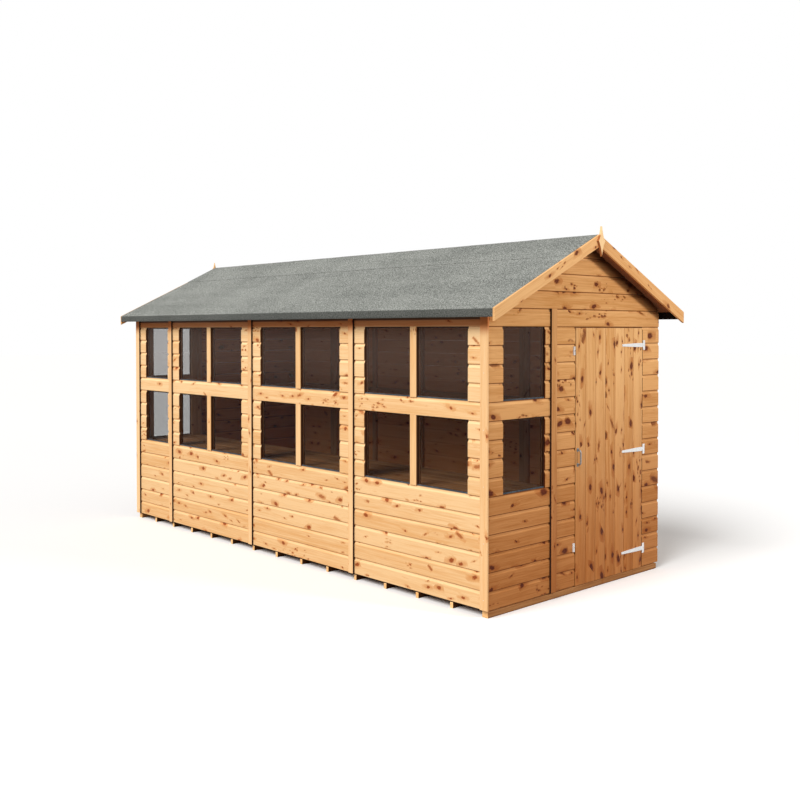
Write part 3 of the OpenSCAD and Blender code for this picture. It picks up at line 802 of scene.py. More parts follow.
def board_rows(s0, s1, courses, panes):
    """Rows of start, end and course. A window breaks a course in two, from its first pane to its last."""
    rows = []
    for k in courses:
        middle = base_z + (k + 0.5) * COVER
        cut = panes[(panes[:, 2] < middle) & (panes[:, 3] > middle)] if len(panes) else panes
        ends = [s0, cut[:, 0].min(), cut[:, 1].max(), s1] if len(cut) else [s0, s1]
        rows += [(a, b, k) for a, b in zip(ends[::2], ends[1::2])]
    return rows


print("panes in the left wall:", len(panes_in(left_wall, front_y, rear_y)))

# %% [markdown]
# ## The frame of a panel
# Behind the boards each panel has upright studs at its ends and beside its windows, and rails between
# them. The mullion between two panes is one upright plank on the outside and one behind. All of them are
# plain bars, and only where they start has to be worked out.

# %% Studs, rails and mullions


def window_columns(panes):
    """The start and end of each column of panes along the wall."""
    return sorted({(round(a, 4), round(b, 4)) for a, b, _, _ in panes})


def frame_bars(wall, s0, s1, top, panes):
    """Studs over the whole height, each ending where the next starts, and rails from stud to stud."""
    starts = [s0, s1 - STUD]
    widths = {}
    if len(panes):
        columns = window_columns(panes)
        sill, head = panes[:, 2].min(), panes[:, 3].max()
        low_head, high_sill = sorted(panes[:, 3])[0], sorted(panes[:, 2])[-1]
        starts += [columns[0][0] - STUD, columns[-1][1]]
        for (_, a), (b, _) in zip(columns, columns[1:]):
            starts.append(a)
            widths[a] = b - a
        rails = [(base_z, base_z + STUD), (sill - STUD, sill), (low_head, high_sill), (head, head + STUD)]
    else:
        middle = base_z + 10 * COVER
        starts += [(s0 + s1 - STUD) / 2] if s1 - s0 > 0.8 else []
        rails = [(base_z, base_z + STUD)] + ([(middle - STUD, middle)] if top > middle + STUD else [])
    rails.append((top - STUD, top))
    starts = sorted(starts)
    ends = [a + widths.get(a, STUD) for a in starts]
    ends = [min(e, nxt) for e, nxt in zip(ends, starts[1:] + [s1])]
    studs = [(a, b - FIT, CLAD, WALL, base_z, top) for a, b in zip(starts, ends)]
    level = [(a, b - FIT, CLAD, WALL, z0, z1)
             for a, b in zip(ends, starts[1:]) if b - a > 2 * FIT for z0, z1 in rails]
    return [wall.bars(studs, True), wall.bars(level, False)]


def mullions(wall, panes):
    """Outer planks between the columns of panes, from sill to head."""
    columns = window_columns(panes)
    heights = sorted({(round(c, 4), round(d, 4)) for _, _, c, d in panes})
    rows = [(a, b, 0, CLAD, z0, z1) for (_, a), (b, _) in zip(columns, columns[1:]) for z0, z1 in heights]
    return [wall.bars(rows, True)] if rows else []


print("framing is", STUD, "x", FRAME, "m")

# %% [markdown]
# ## Panels
# A shed like this comes as panels, and each panel in the frame is one node. Its boards, its mullions and
# its frame are separate pieces, because each has a finish of its own. Together they stand for the node.

# %% Panels of boards on a frame


def panel(node, wall, finish, courses=range(16)):
    """The boards, mullions and frame of one panel, in the CAD node's place."""
    lo, hi = corners(node)
    s = sorted(((lo - wall.origin) @ wall.along, (hi - wall.origin) @ wall.along))
    panes = panes_in(wall, *s)
    laid = shiplap(wall, board_rows(*s, courses, panes), hi[2])
    timbers(node + "_boards", [laid], finish, nodes=[node])
    planks = mullions(wall, panes)
    if planks:
        timbers(node + "_mullions", planks, mullion_pine, nodes=[node])
    framing = {"left": side_framing, "front": gable_framing}.get(node.split("_")[0], framing_pine)
    timbers(node + "_frame", frame_bars(wall, *s, hi[2], panes), framing, nodes=[node])
    return len(panes)


windows = 0
for number in range(1, 5):
    windows += panel(f"left_panel_{number}", left_wall, side_pine, range(17))
    panel(f"right_panel_{number}", right_wall, side_pine, range(17))
for node, wall in (("front_window_panel", front_wall), ("rear_window_panel", rear_wall),
                   ("rear_plain_panel", rear_wall)):
    windows += panel(node, wall, gable_pine)
for node in ("door_post_left", "door_post_right"):
    panel(node, front_wall, gable_pine, range(15))
print("window panes:", windows)

# %% [markdown]
# ## Timbers on a slope
# A board in the gable may reach as far from the middle as the roof is wide at its height. Rafters, roof
# boards and bargeboards lean instead, with upright ends. Turning the object would be the quick way, but a
# finished piece stays unturned, so the outline slides down as it is carried.

# %% Sloping timbers


def under_roof(z):
    """Half the width of the gable at a height: the wall's, or less where the roof comes down to it."""
    return np.clip((apex - z) / SLOPE, 0.0, side_x)


def raked(x0, x1, z0, z1, drop, y0, y1, arris=0.0015):
    """Sloping timbers with upright ends. Their top edge goes from (x0, z0) to (x1, z1), with x0 below x1,
    and they are `drop` deep, measured upright. The rounded outline in y and z slides as it is carried."""
    x0, x1, z0, z1, drop, y0, y1 = (np.asarray(a, float)[..., None] for a in
                                    np.broadcast_arrays(*np.atleast_1d(x0, x1, z0, z1, drop, y0, y1)))
    ease = arris / 2
    x = np.concatenate([x0, x0 + ease, x1 - ease, x1], 1)
    top = z0 + (z1 - z0) * (x - x0) / (x1 - x0)
    half = np.concatenate([y1 - y0, drop], 1) / 2
    outline = np.stack([rounded(half, arris, inset) for inset in (ease, 0, 0, ease)], 1)
    y = outline[..., 0] + ((y0 + y1) / 2)[:, :, None]
    z = outline[..., 1] + (top - drop / 2)[:, :, None]
    x = np.broadcast_to(x[:, :, None], y.shape)
    along = x * np.sqrt(1 + ((z1 - z0) / (x1 - x0))[:, :, None] ** 2)
    wide = (drop >= y1 - y0)[:, :, None]
    first, second = outline[..., 1], outline[..., 0]
    grain = np.stack([along, np.where(wide, first, second), np.where(wide, second, first)], -1)
    return np.stack([x, y, z], -1), grain


def fitted(node, side):
    """The box of a sloping CAD node, and its x0, x1, z0, z1 and drop for `raked`. It falls away from the
    middle, so the higher end of its top edge is on the right on the left slope, where side is -1."""
    lo, hi = corners(node)
    fall = SLOPE * (hi[0] - lo[0])
    heights = (hi[2] - fall, hi[2]) if side < 0 else (hi[2], hi[2] - fall)
    return lo, hi, (lo[0], hi[0], *heights, hi[2] - lo[2] - fall)


print("slope:", round(math.degrees(math.atan(SLOPE)), 1), "degrees")

# %% [markdown]
# ## Over the door, and the gables
# One board and a header close the wall over the door. Above the plate the boards of both gables are cut to
# the slope, and a light frame of two sides and a beam carries them.

# %% Gables
over_lo, over_hi = corners("front_over_door")
over = [shiplap(front_wall, [(over_lo[0], over_hi[0], 15)], over_hi[2])]
timbers("over_door_board", over, gable_pine, nodes=["front_over_door"])
header = [front_wall.bars([(over_lo[0], over_hi[0], CLAD, WALL, over_lo[2], over_hi[2])], False)]
timbers("over_door_header", header, framing_pine, nodes=["front_over_door"])

for node, wall in (("front_gable_top", front_wall), ("rear_gable_top", rear_wall)):
    courses = range(16, 16 + math.ceil((apex - plate) / COVER))
    rows = [(-side_x, side_x, k) for k in courses]
    laid = shiplap(wall, rows, apex, under_roof)
    timbers(node + "_boards", [laid], gable_pine, nodes=[node])
    inner = side_x - WALL
    depths = sorted(wall.origin[1] + wall.inward[1] * np.array([CLAD, WALL]))
    foot = apex - SLOPE * inner
    sides = raked([-inner, 0.0], [-FIT, inner], [foot, apex], [apex, foot], STUD, *depths)
    beam = wall.bars([(-inner, inner, CLAD, WALL, plate, plate + FRAME)], False)
    timbers(node + "_frame", [sides, beam], framing_pine, nodes=[node])
print("gable courses:", len(rows))

# %% [markdown]
# ## Trims, strips and painted shade
# Corner trims and cover strips are plain planed laths. Their boxes come from the frame, one for each solid in
# the node. Along one edge of each strip, and of each trim at the rear, a thin near-black strip is painted
# shade in the joint: the front edge on the long walls, and the left one on the gables.

# %% Trims and strips of painted shade
SHADE_STRIP = 0.004  # width of a strip of painted shade on the long sides
GABLE_SHADE_STRIP = 0.0015  # and on the gables

for node, finish in (("side_cover_strips", trim_pine), ("gable_cover_strips", shaded_trim_pine)):
    timbers(node + "_planed", [bars(*solids(node), 2, 0.002)], finish, nodes=[node])
corner_lo, corner_hi = solids("corner_trims")
# the right-hand corner trims are seen from the gable, so they take the deeper copy for the shade
for name, finish, there in (("left", trim_pine, corner_lo[:, 0] < 0),
                            ("right", shaded_trim_pine, corner_lo[:, 0] > 0)):
    timbers(f"{name}_corner_trims", [bars(corner_lo[there], corner_hi[there], 2, 0.002)], finish,
            nodes=["corner_trims"])

strip_lo, strip_hi = solids("side_cover_strips")
far = corner_lo[:, 1] > 0
shade_strip_lo = np.concatenate([strip_lo, corner_lo[far]])
shade_strip_hi = np.concatenate([strip_hi, corner_hi[far]])
shade_strip_hi[:, 1] = shade_strip_lo[:, 1]
shade_strip_lo = shade_strip_lo - [0, SHADE_STRIP, 0]
gable_lo, gable_hi = solids("gable_cover_strips")
gable_hi[:, 0] = gable_lo[:, 0]
gable_lo = gable_lo - [GABLE_SHADE_STRIP, 0, 0]
rings, _ = bars(np.concatenate([shade_strip_lo, gable_lo]), np.concatenate([shade_strip_hi, gable_hi]), 2, 0.0006)
# thin near-black strips of painted shade along one edge of each strip
piece("joint_shade_strips", rings.reshape(-1, 3), carried(rings), black_rubber_and_shade)
print("shade_strips:", len(rings))

# %% [markdown]
# ## Windows
# The panes are the CAD model's own, with a glass finish. Each gets a weather bar along its foot, where
# water would sit, a dark gasket round its other sides, and thin glazing beads on the inside. They are all
# bars round the edge of a pane, so one helper gives the head and both sides of any of them.

# %% Glazing
BAR_H = 0.009  # height of a weather bar
BEAD = 0.010  # width of a glazing bead
GASKET = 0.005  # width of the gasket that shows round a pane
BAR_ARRIS = 0.0008
BAR_DEPTHS = CLAD - 0.002, CLAD + 0.0018  # where weather bars and gaskets start and end, inwards
BEAD_DEPTHS = CLAD + 0.0055, CLAD + 0.0055 + BEAD

for node in ("side_window_glass", "gable_window_glass"):
    frame["nodes"][node].data.materials.clear()
    frame["nodes"][node].data.materials.append(glass)


def along_foot(wall, panes, depths, height, arris):
    """A bar on the foot of each pane, from rows of s0, s1, z0, z1."""
    a, b, c, _ = panes.T
    return wall.bars(np.stack([a, b, depths[0] + 0 * a, depths[1] + 0 * a, c, c + height], 1), False, arris)


def round_the_rest(wall, panes, depths, width, foot, arris):
    """A bar under the head of each pane, and one up each side, from `foot` above the sill to that bar."""
    a, b, c, d = panes.T
    near, far = depths[0] + 0 * a, depths[1] + 0 * a
    head = wall.bars(np.stack([a, b, near, far, d - width, d], 1), False, arris)
    sides = [np.stack([s, s + width, near, far, c + foot, d - width], 1) for s in (a, b - width)]
    return [head] + [wall.bars(rows, True, arris) for rows in sides]


bars_at, gaskets, beads = [], [], []
for wall in (left_wall, front_wall, rear_wall):
    panes = panes_in(wall, -9, 9)
    bars_at.append(along_foot(wall, panes, BAR_DEPTHS, BAR_H, BAR_ARRIS))
    gaskets += round_the_rest(wall, panes, BAR_DEPTHS, GASKET, BAR_H, BAR_ARRIS)
    beads.append(along_foot(wall, panes, BEAD_DEPTHS, BEAD, 0.0015))
    beads += round_the_rest(wall, panes, BEAD_DEPTHS, BEAD, BEAD, 0.0015)
rings = np.concatenate([r for r, _ in bars_at])
piece("weather_bars", rings.reshape(-1, 3), carried(rings), bar_blue)
rings = np.concatenate([r for r, _ in gaskets])
piece("glazing_gaskets", rings.reshape(-1, 3), carried(rings), black_rubber_and_shade)
timbers("glazing_beads", beads, shaded_stop_pine)
print("weather bars:", sum(len(r) for r, _ in bars_at), "glazing beads:", sum(len(r) for r, _ in beads))

# %% [markdown]
# ## The door
# Seven tongued and grooved boards stand side by side. Their long edges are chamfered, so each joint is a
# V. On the back, three ledges hold them and two braces take the weight to the hinges. They ride on the
# door's body, and the stops that they close against stay with the shed.

# %% Door boards, ledges and stops
DOOR_BOARDS = 7
VEE = 0.0036  # chamfer of the door boards
LEDGE_W = 0.095
LEDGE_Z = (0.206, 0.830, 1.540)  # middles of the ledges
BRACE_SET = 0.010  # how far the braces stand in from the ends of the ledges
timbers("door_boards", [boards(*corners("door_leaf"), 2, 0, DOOR_BOARDS, VEE, 0.0016)], door_pine,
        "door", ["door_leaf"])

ledge_lo, ledge_hi = corners("door_ledges")
centres = np.array(LEDGE_Z)
low = np.stack([0 * centres + ledge_lo[0], 0 * centres + ledge_lo[1], centres - LEDGE_W / 2], 1)
high = np.stack([0 * centres + ledge_hi[0], 0 * centres + ledge_hi[1], centres + LEDGE_W / 2], 1)


def braces():
    """Two leaning bars whose outline slides sideways as it is carried up, away from the hinge side."""
    z = np.stack([centres[:-1] + LEDGE_W / 2, centres[1:] - LEDGE_W / 2], 1)
    start = ledge_hi[0] - BRACE_SET - LEDGE_W / 2
    end = ledge_lo[0] + BRACE_SET + LEDGE_W / 2
    x = np.broadcast_to([start, end], z.shape)
    half = np.array([LEDGE_W, ledge_hi[1] - ledge_lo[1]]) / 2
    outline = np.broadcast_to(rounded(half, EASE, 0), (2, 2, 12, 2))
    y = outline[..., 1] + (ledge_lo[1] + ledge_hi[1]) / 2
    across = outline[..., 0] + x[:, :, None]
    up = np.broadcast_to(z[:, :, None], y.shape)
    return np.stack([across, y, up], -1), np.stack([up * 1.25, outline[..., 0], outline[..., 1]], -1)


timbers("door_ledges_and_braces", [bars(low, high, 0), braces()], framing_pine, "door",
        ["door_ledges"])
stops_lo, stops_hi = solids("door_frame")
upright = (stops_hi - stops_lo)[:, 2] > 0.5
timbers("door_stops", [bars(stops_lo[upright], stops_hi[upright], 2),
                       bars(stops_lo[~upright], stops_hi[~upright], 0)], shaded_stop_pine,
        nodes=["door_frame"])
print("door boards:", DOOR_BOARDS, "ledges:", len(centres))

# %% [markdown]
# ## Floor, bearers and bench
# The floor is boarded along the shed, so its boards' edges show as a line under the gables. The bearers
# run across, and their ends show under the long sides. The bench along the windows has five boards. A few
# timbers are seen only from inside or in the shade: they keep the CAD model's own shape and only get a
# finish, with the grain running along Y.

# %% Floor and bench
floor_lo, floor_hi = corners("floor_boards")
timbers("floor_boards_laid", [boards(floor_lo, floor_hi, 1, 0, 16, 0.001, 0.0006)], floor_pine,
        nodes=["floor_boards"])
timbers("floor_bearers_sawn", [bars(*solids("floor_bearers"), 0, 0.001)], bearer_pine,
        nodes=["floor_bearers"])
timbers("bench_boards", [boards(*corners("bench_top"), 1, 0, 5, 0.002, 0.003)], bench_pine,
        nodes=["bench_top"])
for node, finish in (("bench_frame", long_timber), ("roof_purlins", long_timber),
                     ("eave_battens", shaded_batten_pine)):
    frame["nodes"][node].data.materials.clear()
    frame["nodes"][node].data.materials.append(finish)
print("floor top at", round(floor_hi[2], 3), "m, bench top at", round(corners("bench_top")[1][2], 3), "m")

# %% [markdown]
# ## Roof boards and bargeboards
# Roof boards run down each slope, side by side along the shed. The bargeboards close the ends of the roof,
# with their feet cut plumb. Both are the sloping timbers from above, fitted to the boxes of their nodes.

# %% Roof timbers
DECK_BOARD = 0.106  # width of a roof board
DECK_GAP = 0.0004  # half of the gap between two

for side, name in ((-1, "left"), (1, "right")):
    lo, hi, edge = fitted(f"roof_deck_{name}", side)
    count = round((hi[1] - lo[1]) / DECK_BOARD)
    cuts = np.linspace(lo[1], hi[1], count + 1)
    deck = raked(*edge, cuts[:-1] + DECK_GAP, cuts[1:] - DECK_GAP, 0.0012)
    timbers(f"roof_boards_{name}", [deck], shaded_deck_pine, nodes=[f"roof_deck_{name}"])
    for end in ("front", "rear"):
        node = f"{end}_barge_{name}"
        lo, hi, edge = fitted(node, side)
        plank = raked(*edge, lo[1], hi[1], 0.002)
        timbers(node + "_planed", [plank], barge_pine, nodes=[node])
print("roof boards each side:", count)

# %% [markdown]
# ## Finials
# A finial covers the place where two bargeboards meet, and a joiner cuts it from one board. Its outline is
# a diamond whose sides curve in: a power above two of the cosine and of the sine hollows it. It is drawn
# six times through the thickness, smaller at both faces, which eases its edges.

# %% Finials
HOLLOW = 2.7  # 2 gives a straight-sided diamond, and more hollows the sides


def finial(node):
    """The outline (cos^p, sin^p) with their signs kept, scaled to the box of the node and carried along Y.
    Seen against +Y the outline has to run the other way round, so the angle is taken backwards."""
    lo, hi = corners(node)
    angle = -np.linspace(0, 2 * np.pi, 96, endpoint=False)
    wave = np.stack([np.cos(angle), np.sin(angle)], 1)
    outline = np.sign(wave) * np.abs(wave) ** HOLLOW * (hi - lo)[[0, 2]] / 2
    depth = np.array([lo[1], lo[1] + 0.0006, lo[1] + 0.002, hi[1] - 0.002, hi[1] - 0.0006, hi[1]])
    scale = np.array([0.955, 0.985, 1.0, 1.0, 0.985, 0.955])
    x = outline[:, 0] * scale[:, None] + (lo[0] + hi[0]) / 2
    z = outline[:, 1] * scale[:, None] + (lo[2] + hi[2]) / 2
    rings = np.stack([x, np.broadcast_to(depth[:, None], x.shape), z], -1)[None]
    grain = np.stack([z, x, np.broadcast_to(depth[:, None], x.shape) - lo[1]], -1)[None]
    timbers(node + "_cut", [(rings, grain)], finial_pine, nodes=[node])
    return round(float(hi[2]), 3)


print("finial tips at", [finial(node) for node in ("front_finial", "rear_finial")], "m")

# %% [markdown]
# ## Felt
# Felt is laid as one sheet on each slope, turned down over the eaves and under the batten, and a last
# sheet is folded over the ridge. It never lies quite flat. A cloth simulation would be much work for so
# stiff a sheet, so its upper side carries a low wave, the sum of a few sines whose lengths don't fit
# together. The wave fades towards the folds.

# %% Felt on the slopes
FELT = 0.003
FOLD = 0.010  # radius of the fold over the eaves
HEM = 0.030  # how far the felt goes back under the batten
LIFT = 0.0007  # height of the wave
RINGS = 160  # steps along the roof


def ripple(along, down, depth):
    """A low uneven wave in metres: three sines along the roof, each drifting down the slope."""
    wave = np.sin(along * 9.1 + down * 3.0) + 0.7 * np.sin(along * 21.7 - down * 5.0 + 1.3)
    return depth * (wave + 0.5 * np.sin(along * 47.0 + down * 11.0 + 0.4)) / 2.2


def felt_slope(node, side):
    """A slope's sheet: the roof line as far as the eaves, a rounded edge, the turned-down face and the
    return under the batten, then back along the inside. The closed outline is carried along Y."""
    lo, hi = corners(node)
    reach = max(abs(lo[0]), abs(hi[0]))
    eave = hi[2] - SLOPE * reach
    x = np.linspace(0.0005, reach - 0.012, 26)
    tilt = math.atan(SLOPE)
    bend = np.linspace(math.pi / 2 - tilt, 0, 5)
    top = np.stack([x, hi[2] - SLOPE * x], 1)
    centre = np.array([reach - FOLD, eave + FOLD * (SLOPE - 1 / math.cos(tilt))])
    edge = centre + FOLD * np.stack([np.cos(bend), np.sin(bend)], 1)
    face = np.stack([np.full(4, reach), np.linspace(edge[-1, 1] - 0.008, lo[2] + 0.003, 4)], 1)
    hem = np.array([(reach - 0.002, lo[2]), (reach - HEM, lo[2]), (reach - HEM, lo[2] + FELT - FIT),
                    (reach - FELT, lo[2] + FELT - FIT)])
    inner = np.stack([x[::-1], hi[2] - SLOPE * x[::-1] - FELT / math.cos(tilt) + 0.0001], 1)
    inner_top = np.array([(reach - FELT, eave - 0.0025)])
    outline = np.concatenate([top, edge, face, hem, inner_top, inner])
    y = np.linspace(lo[1], hi[1], RINGS)
    count = len(top) + len(edge) + len(face)
    weight = np.zeros(len(outline))
    weight[1:count] = 1.0
    down = outline[:, 0]
    lift = ripple(y[:, None], down, LIFT) * weight
    steep = np.zeros(len(outline))
    steep[len(top) + 2:count] = 1.0
    px = outline[:, 0] - np.abs(lift) * steep
    pz = outline[:, 1] + lift * (1 - steep) - LIFT * weight * (1 - steep)
    rings = np.stack([side * px, np.broadcast_to(y[:, None], px.shape), pz], -1)[None]
    rings = rings if side > 0 else rings[:, :, ::-1]
    rings = rings[:, ::-1]
    return piece(node + "_laid", rings.reshape(-1, 3), carried(rings), felt, nodes=[node],
                 smooth=50)


felt_slope("roof_felt_left", -1)
felt_slope("roof_felt_right", 1)
print("rings along a slope:", RINGS)

# %% [markdown]
# ## The ridge sheet
# Over the ridge the felt bends in a soft curve and not in a sharp fold. Near a fold a hyperbola looks like
# its two straight sides joined by a curve, so its formula gives the whole line across at once.

# %% Felt over the ridge


def felt_ridge(node):
    """The ridge sheet: its upper and lower line across the roof, with the fold rounded by a short
    hyperbola, and its two lower edges a little uneven along the roof."""
    lo, hi = corners(node)
    reach, thick = hi[0], FELT / math.cos(math.atan(SLOPE))
    half = np.linspace(0.03, reach, 14)
    x = np.concatenate([-half[::-1], np.linspace(-0.02, 0.02, 5), half])
    fold = np.sqrt(x ** 2 + 0.008 ** 2) - 0.008 * (1 - np.abs(x) / reach)
    top = hi[2] - SLOPE * fold
    low = hi[2] - thick + 0.0002 - SLOPE * np.abs(x)
    y = np.linspace(lo[1], hi[1], RINGS)[:, None]
    uneven = 1 + np.sin(y * 7.0) * 0.5 + np.sin(y * 17.0 + 1.0) * 0.3
    edge = 1 - 0.004 * uneven * (np.abs(x) > reach - 1e-6)
    outline_x = np.concatenate([x * edge, (x * edge)[:, ::-1]], 1)
    wave = ripple(y, np.abs(x), 0.0006) - 0.0006
    upper = top + SLOPE * np.abs(x) * (1 - edge) + wave
    lower = np.broadcast_to(low, upper.shape) + SLOPE * np.abs(x) * (1 - edge)
    z = np.concatenate([np.maximum(upper, lower + 0.001), lower[:, ::-1]], 1)
    rings = np.stack([outline_x, np.broadcast_to(y, z.shape), z], -1)[None]
    return piece(node + "_folded", rings.reshape(-1, 3), carried(rings), felt, nodes=[node],
                 smooth=50)


felt_ridge("ridge_felt")
print("felt laid")

# %% [markdown]
# ## Fittings
# The hinges, the handle and the catches keep the CAD model's shape. Plated steel has no knife edges, and a
# rounded edge is what catches the light, so a copy of each gets a small bevel. The copy is merged first: a
# CAD mesh is loose triangles, and a bevel needs faces that share their edges.

# %% Rounded copies of the steel


def eased(node, width, finish, body, smooth=40):
    """A merged copy of a CAD node: flat faces joined up, and edges sharper than 35 degrees bevelled."""
    mesh = frame["nodes"][node].data.copy()
    shape = bmesh.new()
    shape.from_mesh(mesh)
    bmesh.ops.remove_doubles(shape, verts=shape.verts, dist=2e-5)
    bmesh.ops.dissolve_limit(shape, angle_limit=math.radians(1), verts=shape.verts, edges=shape.edges)
    shape.to_mesh(mesh)
    shape.free()
    mesh.materials.clear()
    mesh.materials.append(finish)
    mesh.shade_smooth()
    mesh.set_sharp_from_angle(angle=math.radians(smooth))
    made = bpy.data.objects.new(node + "_eased", mesh)
    bpy.context.scene.collection.objects.link(made)
    bevel = made.modifiers.new("eased edges", "BEVEL")
    bevel.width = width
    bevel.segments = 2
    bevel.limit_method = "ANGLE"
    bevel.angle_limit = math.radians(35)
    bevel.harden_normals = True
    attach(made, body)
    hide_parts(node)
    return made


eased("hinge_plates", 0.0008, zinc_pale, "shed")
eased("hinge_straps", 0.0008, zinc_pale, "door")
eased("door_catches", 0.0006, zinc_pale, "shed")
eased("pull_handle", 0.0006, zinc_dark, "door")

# %% [markdown]
# ## Nails and screws
# A head is a small solid of revolution: a low dome, and on a screw a cross-shaped recess. The recess is a
# ring whose radius swings four times round, by a cosine of four times the angle. Nails are tiny and many,
# so they have only eight sides.

# %% Heads


def heads(name, centres, outward, radius, dome, finish, body, recess=0.0):
    """Round heads at an array of places, all facing one way. Rings of radius 1, 1, 0.8 and 0.5 rise from
    under the surface to the dome. With a recess the inner rings have radius 0.34 + 0.14 cos(4 angle), and
    the last one sinks."""
    sides = 16 if recess else 8
    angle = np.linspace(0, 2 * np.pi, sides, endpoint=False)
    share = np.array([1.0, 1.0, 0.8, 0.5])[:, None] + 0 * angle
    rise = np.array([-0.8, 0.35, 0.85, 1.0])[:, None] + 0 * angle
    if recess:
        cross = (0.34 + 0.14 * np.cos(4 * angle))[None]
        share = np.concatenate([share[:3], cross, cross * 0.85])
        rise = np.concatenate([rise[:3], cross * 0 + 1.0, cross * 0 + 1.0 - recess / dome])
    outward = np.array(outward, float)
    first = np.cross(outward, UP) if abs(outward[2]) < 0.9 else np.array([1.0, 0, 0])
    first = first / np.linalg.norm(first)
    second = np.cross(outward, first)
    around = (share * np.cos(angle))[..., None] * first + (share * np.sin(angle))[..., None] * second
    head = around * radius + (rise * dome)[..., None] * outward
    rings = np.atleast_2d(centres)[:, None, None] + head
    return piece(name, rings.reshape(-1, 3), carried(rings), finish, body, smooth=40)


def grid(*values):
    """All combinations of the given lists, one row each."""
    return np.stack(np.meshgrid(*values, indexing="ij"), -1).reshape(-1, len(values))


print("sides of a nail's head: 8, of a screw's: 16")

# %% [markdown]
# ## Where the screws and nails go
# Every strap has four screws and every plate three, at the heights of the hinges. The joint in the frame
# says where the pin is, and the screws are set out from there. Nails hold the strips and trims in one
# column each.

# %% Screws and nails
STEEL = 0.004  # thickness of the straps and the plates
DOME = 0.0012  # height of a screw's dome, and depth of its recess
NAIL = 0.0021  # radius of a nail's head
FORWARD = (0, -1, 0)

strap_lo, strap_hi = solids("hinge_straps")
hinge_z = np.unique(np.round((strap_lo[:, 2] + strap_hi[:, 2]) / 2, 3))
pin = np.array(frame["joints"][0]["pos_m"])
on_strap = pin[0] - np.array([0.045, 0.100, 0.155, 0.208])
strap_face = corners("door_leaf")[0][1] - STEEL
spots = grid(on_strap, [strap_face], hinge_z)
heads("strap_screws", spots, FORWARD, 0.0042, DOME, zinc_pale, "door", DOME)
on_plate = pin[0] + 0.0155
spots = grid([on_plate], [front_y - STEEL], (hinge_z[:, None] + [-0.023, 0.0, 0.023]).ravel())
heads("plate_screws", spots, FORWARD, 0.004, DOME, zinc_pale, "shed", DOME)

strip_mid = (strip_lo + strip_hi) / 2
trim_mid = (corner_lo + corner_hi) / 2
nail_z = np.arange(base_z + 0.06, wall_top - 0.10, 0.33)
for sign, name in ((-1, "left"), (1, "right")):
    on_side = strip_mid[np.sign(strip_mid[:, 0]) == sign][:, 1]
    trims = trim_mid[np.sign(trim_mid[:, 0]) == sign][:, 1]
    face = sign * (side_x + CLAD)
    spots = grid([face], np.concatenate([on_side, trims]), nail_z)
    heads(f"{name}_strip_nails", spots, (sign, 0, 0), NAIL, 0.0003, zinc_pale, "shed")
print("hinges at", hinge_z, "m, nails in a column:", len(nail_z))

# %% [markdown]
# ## Ground and sky
# A plain pale floor takes the shadow. It and the world look white to the camera and in reflections, while
# the light that they give the shed stays soft and even. More light would make them white too, but then the
# pale boards would burn out. So a finish asks which kind of ray is looking, and answers each one in its
# own way.

# %% Floor and world
floor_mesh = bpy.data.meshes.new("ground")
floor_mesh.from_pydata([(-60, -60, 0), (60, -60, 0), (60, 60, 0), (-60, 60, 0)], [], [(0, 1, 2, 3)])
ground = bpy.data.objects.new("ground", floor_mesh)
bpy.context.scene.collection.objects.link(ground)
ground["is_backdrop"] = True


def seen_rays(f):
    """1 for rays from the camera, a mirror or glass, and 0 for the rays that light things."""
    names = ("Is Camera Ray", "Is Glossy Ray", "Is Transmission Ray")
    seen, mirrored, through = [f.node("LightPath", {}, {}, name) for name in names]
    return seen.math("MAXIMUM", mirrored).math("MAXIMUM", through)


def pale_floor():
    """A matt floor. Seen by the camera it is white, so that only a shadow shows on it, and for the light
    that it throws back on the shed it is a mid grey."""
    f = Finish("pale_floor")
    grit = f.noise(f.node("TexCoord", {}, {}, "Object"), scale=30.0, detail=2.0) * 0.5
    shown = f.node("BsdfDiffuse", {}, {"Color": f.blend(grit, (0.975, 0.985, 1.0), (0.965, 0.975, 0.99))})
    unseen = f.node("BsdfDiffuse", {}, {"Color": (0.30, 0.29, 0.28)})
    mixed = f.node("MixShader", {}, {0: seen_rays(f), 1: unseen, 2: shown})
    f.node("OutputMaterial", {}, {"Surface": mixed})
    return f.material


floor_mesh.materials.append(pale_floor())

sky = Finish("studio", world=True)
bpy.context.scene.world = sky.material
dim = sky.node("Background", {}, {"Color": (1.0, 0.965, 0.93), "Strength": 0.36})
bright = sky.node("Background", {}, {"Color": (1.0, 1.0, 1.0), "Strength": 1.0})
mixed = sky.node("MixShader", {}, {0: seen_rays(sky), 1: dim, 2: bright})
sky.node("OutputWorld", {}, {"Surface": mixed})
print("floor and world ready")

# %% [markdown]
# ## Lamps
# The main light is a wide soft sun from the left, rather low, so the long side is bright and the eaves
# throw a short shadow. A smaller lamp stands in front of the door gable, a little above it, and keeps that
# end warm without reaching the long side.

# %% Lamps


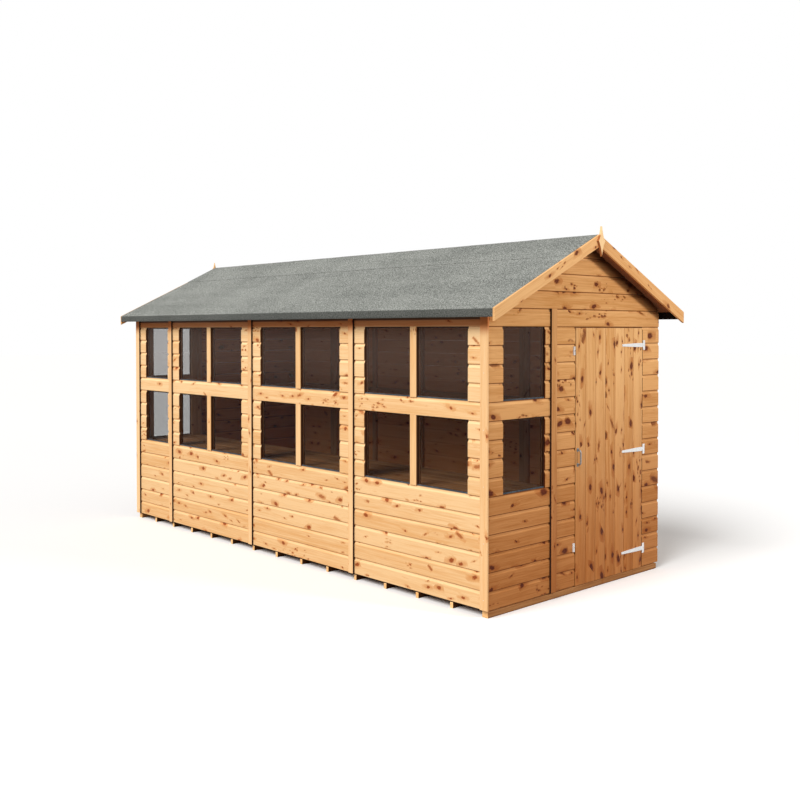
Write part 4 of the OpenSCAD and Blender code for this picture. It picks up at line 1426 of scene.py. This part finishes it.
def lamp(name, kind, power, colour=(1, 1, 1), **settings):
    """A lamp of a kind and a power. The settings are the light's own, such as its size or its angle."""
    data = bpy.data.lights.new(name, kind)
    data.energy = power
    data.color = colour
    for key, value in settings.items():
        setattr(data, key, value)
    made = bpy.data.objects.new(name, data)
    bpy.context.scene.collection.objects.link(made)
    return made


def aim(thing, start, target):
    """Puts a lamp at start and points it at target: the tilt comes from how much of the way is down, and
    the turn from where it goes on the ground."""
    way = np.array(target, float) - np.array(start, float)
    tilt = math.acos(-way[2] / np.linalg.norm(way))
    thing.location = start
    thing.rotation_euler = (tilt, 0, math.atan2(way[1], way[0]) - math.pi / 2)


key = lamp("key", "SUN", 3.15, (1.0, 0.99, 0.97), angle=math.radians(36))
aim(key, (-6.0, -0.4, 5.5), (0, 0, 0))
front = lamp("front", "AREA", 114, (1.0, 0.96, 0.91), shape="SQUARE", size=0.7)
aim(front, (0.9, -6.5, 2.7), (0.2, -2.1, 1.2))
print("lamps:", key.name, front.name)

# %% [markdown]
# ## Camera
# The camera stands off the near corner at the height of a person's eyes, and looks slightly down. Its
# frame is shifted and not tilted further, which keeps the upright lines of the shed nearly upright.

# %% Camera
CAMERA_AT = (-5.0513, -5.8389, 1.6722)
YAW, PITCH = 0.74759, -0.02089  # radians to the right of +Y, and up
LENS = 43.5951  # mm, with a sensor 36 mm wide
SHIFT = -0.06175  # how far the frame is moved down, as a share of its width

camera_data = bpy.data.cameras.new("camera")
camera = bpy.data.objects.new("camera", camera_data)
bpy.context.scene.collection.objects.link(camera)
bpy.context.scene.camera = camera
camera.location = CAMERA_AT
camera.rotation_euler = (math.pi / 2 + PITCH, 0, -YAW)
camera_data.sensor_width = 36.0
camera_data.lens = LENS
camera_data.shift_y = SHIFT
bpy.context.scene.view_settings.view_transform = "Standard"
print("camera", round(math.dist(CAMERA_AT, (0, 0, 1)), 2), "m from the middle of the shed")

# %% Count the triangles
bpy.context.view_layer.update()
meshes = [made.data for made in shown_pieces() if made.type == "MESH"]
print("triangles:", sum(len(face.vertices) - 2 for mesh in meshes for face in mesh.polygons))
